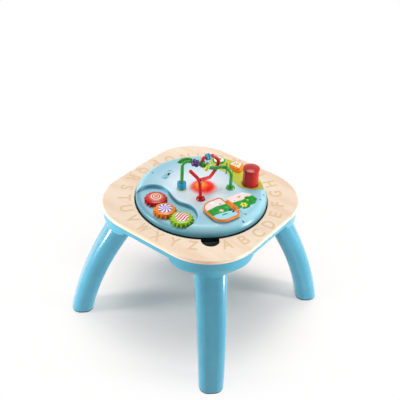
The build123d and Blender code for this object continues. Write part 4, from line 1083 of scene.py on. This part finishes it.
@dataclass
class PanelMarks:
    """Small printed drops on the panel's rounded edge."""

    places: tuple[Point, ...] = (
        (0.126, 0.056, 0.4),
        (0.120, 0.079, 1.3),
        (0.134, -0.013, 2.2),
        (0.1415, -0.0335, 0.9),
        (-0.129, -0.025, 1.9),
    )
    size: float = 0.0028
    rings: int = 3
    steps: int = 20
    pull: float = 0.55
    squash: float = 0.7
    flat_radius: float = 0.133
    shoulder: float = 0.020
    lift: float = 0.0001

    def drop(self, x: float, y: float) -> float:
        """How far the panel's surface lies below its top at a place."""
        out = max(0.0, math.hypot(x, y) - self.flat_radius)
        return self.shoulder - math.sqrt(max(0.0, self.shoulder**2 - out**2))

    def build(self, top: float, ink: bpy.types.Material) -> None:
        """Lays the drops on the panel.

        Args:
            top: Height of the panel's top.
            ink: Their material.
        """
        sheet = bmesh.new()
        for x, y, turn in self.places:
            rows = []
            for ring in range(self.rings + 1):
                row = []
                for step in range(self.steps):
                    angle = 2 * math.pi * step / self.steps
                    pull = 1.0 + self.pull * max(0.0, math.cos(angle)) ** 3
                    away = self.size * ring / self.rings * pull
                    px = x + away * math.cos(angle + turn)
                    py = y + self.squash * away * math.sin(angle + turn)
                    lift = self.lift if ring < self.rings else -self.lift
                    row.append(sheet.verts.new((px, py, top - self.drop(px, py) + lift)))
                rows.append(row)
            join_rows(sheet, rows)
        piece = piece_from(sheet, "panel_marks", ink)
        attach(piece, "panel")
        log.info("built panel_marks on panel")


@dataclass(frozen=True)
class Lamp:
    """A soft white light."""

    name: str
    place: Point
    wide: float
    tall: float
    power: float

    def hang(self, aim: Point) -> None:
        """Puts the light into the scene.

        Args:
            aim: The place that it faces.
        """
        light = bpy.data.lights.new(self.name, "AREA")
        light.shape = "RECTANGLE"
        light.size = self.wide
        light.size_y = self.tall
        light.energy = self.power
        hung = bpy.data.objects.new(self.name, light)
        ahead = Vector(aim) - Vector(self.place)
        facing = ahead.to_track_quat("-Z", "Y").to_matrix().to_4x4()
        hung.matrix_world = Matrix.Translation(self.place) @ facing
        bpy.context.scene.collection.objects.link(hung)


@dataclass
class Studio:
    """Floor, soft lights, world and camera."""

    eye: Point = (0.8672, -1.1909, 1.3707)
    right: Point = (0.788, 0.6141, 0.043)
    up: Point = (-0.3861, 0.4386, 0.8115)
    forward: Point = (-0.4795, 0.6561, -0.5828)
    focal_pixels: float = 773.9
    image_pixels: float = 400.0
    sensor: float = 36.0
    clip: float = 50.0
    floor_half: float = 6.0
    floor_drop: float = 0.0003
    floor_color: Color = (0.93, 0.85, 0.81)
    floor_rough: float = 0.8
    shadow: Point = (-0.05, 0.06, 0.0)
    fade: Span = (0.14, 0.43)
    fade_share: float = 0.96
    far_fade: Span = (0.36, 0.7)
    ambient: float = 0.22
    aim: Point = (0.0, 0.0, 0.3)
    lamps: tuple[Lamp, ...] = (
        Lamp("overhead", (-0.3, 0.45, 2.5), 1.2, 1.2, 34.5),
        Lamp("left_strip", (-1.25, -1.4, 0.42), 0.4, 0.8, 33.0),
        Lamp("right_strip", (1.7, 0.8, 0.42), 0.4, 0.8, 33.0),
        Lamp("front_fill", (1.4, -2.4, 2.2), 1.2, 1.2, 2.0),
    )

    def camera(self) -> None:
        """Sets the camera at the photograph's viewpoint."""
        lens = bpy.data.cameras.new("view")
        lens.sensor_width = self.sensor
        lens.sensor_fit = "HORIZONTAL"
        lens.lens = self.sensor * self.focal_pixels / self.image_pixels
        lens.clip_end = self.clip
        seen = bpy.data.objects.new("view", lens)
        columns = (Vector(self.right), Vector(self.up), -Vector(self.forward))
        seen.matrix_world = Matrix.Translation(self.eye) @ Matrix(columns).transposed().to_4x4()
        bpy.context.scene.collection.objects.link(seen)
        bpy.context.scene.camera = seen

    def floor(self) -> None:
        """Lays a pale floor that fades to white away from the table."""
        shade = Shade("pale_floor")
        away = shade.away(self.shadow)
        fade = away.step(*self.fade) * self.fade_share + away.step(*self.far_fade) * (1 - self.fade_share)
        shade.dress(Base_Color=self.floor_color, Roughness=self.floor_rough)
        white = shade.node("ShaderNodeEmission", None, {"Color": WHITE})
        lit = Val(shade, shade.surface.outputs[0])
        both = shade.node("ShaderNodeMixShader", None, {0: fade * shade.seen(), 1: lit, 2: white})
        shade.feed(shade.output.inputs[0], both)
        sheet = bmesh.new()
        half, low = self.floor_half, -self.floor_drop
        corners = ((-half, -half), (half, -half), (half, half), (-half, half))
        sheet.faces.new([sheet.verts.new((x, y, low)) for x, y in corners])
        piece = piece_from(sheet, "studio_floor", shade.material, False)

    def world(self) -> None:
        """White surroundings: plain white to the camera, softer as light."""
        world = bpy.data.worlds.new("studio")
        bpy.context.scene.world = world
        world.use_nodes = True
        sky = Tree(world.node_tree)
        soft = sky.node("ShaderNodeBackground", None, {"Color": WHITE, "Strength": self.ambient})
        white = sky.node("ShaderNodeBackground", None, {"Color": WHITE, "Strength": 1.0})
        both = sky.node("ShaderNodeMixShader", None, {0: sky.seen(), 1: soft, 2: white})
        output = sky.tree.nodes.new("ShaderNodeOutputWorld")
        sky.feed(output.inputs[0], both)

    def build(self) -> None:
        """Sets up the whole studio."""
        self.camera()
        self.floor()
        self.world()
        for lamp in self.lamps:
            lamp.hang(self.aim)
        log.info("built studio")


@dataclass
class Palette:
    """Every finish of the object, by the CAD nodes that wear it."""

    nodes: dict[str, bpy.types.Object]
    terrace: float = 0.334
    panel_foot: float = 0.3232
    panel_skirt: float = 0.3105
    glow: Span = (0.021, 0.037)
    glow_shift: Span = (-0.0047, -0.0037)
    # Offset of the panel's painted sheen from its light.
    pool_shift: Span = (-0.009, -0.003)
    # Sizes of the frame's painted shade: the panel's recess and the finger notch.
    well_radius: float = 0.1575
    well_floor: float = 0.2925
    notch_out: float = 0.1595
    notch_angle: float = math.radians(-45.0)
    notch_radius: float = 0.0216
    dot_print: float = 0.0072
    face_print: float = 0.0068
    book_place: Point = (0.097, -0.013, 0.0)
    book_turn: float = math.radians(-16.0)
    sides: ClassVar[Names] = ("front", "right", "rear", "left")
    steel_endings: ClassVar[Names] = ("_screws", "_screw", "_washers", "_contacts", "_pin")

    def paint(self, finish: Finish, *names: str) -> None:
        """Makes a finish and gives it to CAD nodes.

        Args:
            finish: The finish.
            names: The nodes that wear it.
        """
        material = finish.make()
        for name in names:
            piece = self.nodes[name]
            if not piece.material_slots:
                piece.data.materials.append(material)
            for entry in piece.material_slots:
                entry.material = material
            log.info("finish %s on %s", material.name, name)

    def dress_table(self) -> None:
        """Paints the wood, the frame, the legs and their fasteners."""
        low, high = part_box("table_top")
        wood = WoodFinish(
            name="pale_ply",
            pale=srgb(250, 229, 206),
            warm=srgb(242, 211, 181),
            pore=srgb(224, 188, 150),
            ply=srgb(208, 176, 140),
            top=high[2],
            under=low[2],
        )
        self.paint(wood, "table_top")
        out, angle = self.notch_out, self.notch_angle
        # The black and grey-teal below are painted shade in the panel's recess and finger notch.
        frame = FrameFinish(
            name="frame_blue",
            color=srgb(70, 166, 194),
            well_shade=BLACK,
            pocket_shade=srgb(86, 112, 112),
            well_radius=self.well_radius,
            well_floor=self.well_floor,
            notch=(out * math.cos(angle), out * math.sin(angle), 0.0),
            notch_radius=self.notch_radius,
        )
        self.paint(frame, "apron_frame")
        legs = PlasticFinish("leg_blue", srgb(54, 158, 188), rough=0.26, coat=0.85, ior=1.5)
        self.paint(legs, *[f"leg_{side}" for side in self.sides])
        black = (0.03, 0.035, 0.04)
        pads = UnevenFinish("foot_rubber", black, tone(black, 1.9, 0.004), RUBBER, 0.72, (0.35, 0.75))
        self.paint(pads, *[f"foot_pad_{side}" for side in self.sides])
        zinc = (0.62, 0.62, 0.60)
        steel = UnevenFinish("zinc_steel", tone(zinc, 0.88), zinc, STEEL, 0.35, metallic=1.0)
        self.paint(steel, *[name for name in self.nodes if name.endswith(self.steel_endings)])

    def dress_panel(self) -> None:
        """Paints the panel's shells, light and inner pieces."""
        _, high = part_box("panel_top_shell")
        middle = center_of("light_lens")
        light = (middle.x, middle.y, high[2])
        # Apart from the blue, these panel colours are painted light and shade: shade on the terrace's walls
        # and rim, a sheen and a red glow round the light, and shadow at the base.
        panel = PanelFinish(
            name="panel_blue",
            blue=srgb(154, 207, 224),
            wall_shade=srgb(84, 172, 194),
            rim_shade=srgb(20, 118, 138),
            pale=srgb(236, 246, 253),
            painted_glow=srgb(246, 72, 44),
            foot_shadow=BLACK,
            skirt_shade=srgb(96, 122, 120),
            light=light,
            pool=(middle.x + self.pool_shift[0], middle.y + self.pool_shift[1], high[2]),
            glow=self.glow,
            terrace=self.terrace,
            rim=high[0],
            foot_height=self.panel_foot,
            skirt_height=self.panel_skirt,
        )
        self.paint(panel, "panel_top_shell", "panel_base_shell", "battery_door", "switch_housing")
        lens = LensFinish(
            name="light_window",
            milk=srgb(236, 238, 240),
            red=srgb(232, 34, 8),
            amber=srgb(255, 170, 56),
            center=light,
            lamp=(middle.x + self.glow_shift[0], middle.y + self.glow_shift[1], high[2]),
            glow=self.glow,
        )
        self.paint(lens, "light_lens", "light_lamp")
        self.paint(PlasticFinish("board_green", (0.02, 0.16, 0.06), rough=0.4, cloud=0.15), "circuit_board")
        black = PlasticFinish("black_plastic", (0.012, 0.012, 0.013), rough=0.45)
        self.paint(black, "sound_chip", "key_switches", "speaker")
        self.paint(PlasticFinish("cell_wrap", (0.10, 0.10, 0.11), rough=0.3), "battery_cells")

    def dress_toys(self) -> None:
        """Paints gears, tracks, beads, tray, buttons, barrel and book."""
        reds = ("gear_red", "gear_cap_red", "red_track", "turn_barrel", "barrel_cap")
        oranges = ("gear_orange", "gear_cap_orange", "page_frame", "book_hinge_bracket", "wedge_button")
        for name, color, rough, coat, worn in (
            ("toy_red", srgb(190, 18, 18), 0.24, 0.15, reds),
            ("toy_green", srgb(54, 156, 62), 0.26, 0.15, ("green_track", "dot_button_ring")),
            ("toy_lime", srgb(192, 204, 62), 0.26, 0.15, ("leaf_tray", "lime_bead")),
            ("gear_green", srgb(156, 196, 38), 0.26, 0.15, ("gear_green", "gear_cap_green")),
            ("toy_orange", srgb(232, 128, 22), 0.26, 0.15, oranges),
            ("bead_blue", srgb(22, 146, 196), 0.22, 0.25, ("ring_bead", "blue_bead")),
            ("bead_plum", srgb(68, 24, 110), 0.22, 0.25, ("plum_bead",)),
            ("slider_blue", srgb(128, 196, 218), 0.3, 0.0, ("power_slider",)),
        ):
            self.paint(PlasticFinish(name, color, rough, coat=coat), *worn)
        dot, face = tuple(center_of("dot_button")), tuple(center_of("wedge_button_face"))
        white, leaf = srgb(246, 246, 238), srgb(70, 160, 90)
        self.paint(BadgeFinish("button_white", Badge.FLOWER, dot, white, leaf, self.dot_print), "dot_button")
        cream, tan = srgb(252, 238, 206), srgb(232, 158, 84)
        striped = BadgeFinish("face_cream", Badge.STRIPES, face, cream, tan, self.face_print)
        self.paint(striped, "wedge_button_face")
        plates = {"page_insert": Scene.PAGE, "book_print_left": Scene.LEFT, "book_print_right": Scene.RIGHT}
        for node, scene in plates.items():
            self.paint(PictureFinish(f"picture_{scene.value}", scene, self.book_place, self.book_turn), node)


def main() -> None:
    """Builds every piece in order."""
    logging.basicConfig(level=logging.INFO, format="%(message)s")
    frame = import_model()
    bpy.context.scene.view_settings.view_transform = "Standard"
    palette = Palette(frame["nodes"])
    palette.dress_table()
    palette.dress_panel()
    palette.dress_toys()

    _, wood_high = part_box("table_top")
    WoodRing().build(wood_high[2], ink("burnt_letters", srgb(236, 203, 160), 0.505))

    prints = GearPrints()
    prints.build("red", Badge.RINGS, srgb(206, 40, 40), srgb(246, 232, 196))
    prints.build("orange", Badge.WHEEL, srgb(244, 240, 250), srgb(112, 70, 178))
    prints.build("green", Badge.STRIPES, srgb(250, 240, 236), srgb(206, 40, 54))

    _, panel_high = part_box("panel_top_shell")
    PanelMarks().build(panel_high[2], ink("panel_ink", srgb(18, 84, 108), 0.405))
    # Near-black crosses: painted shade in the screws' cross recesses.
    ScrewMarks().build(ink("painted_recess_shade", (0.02, 0.02, 0.02), 0.605))

    Studio().build()


if __name__ == "__main__":
    main()
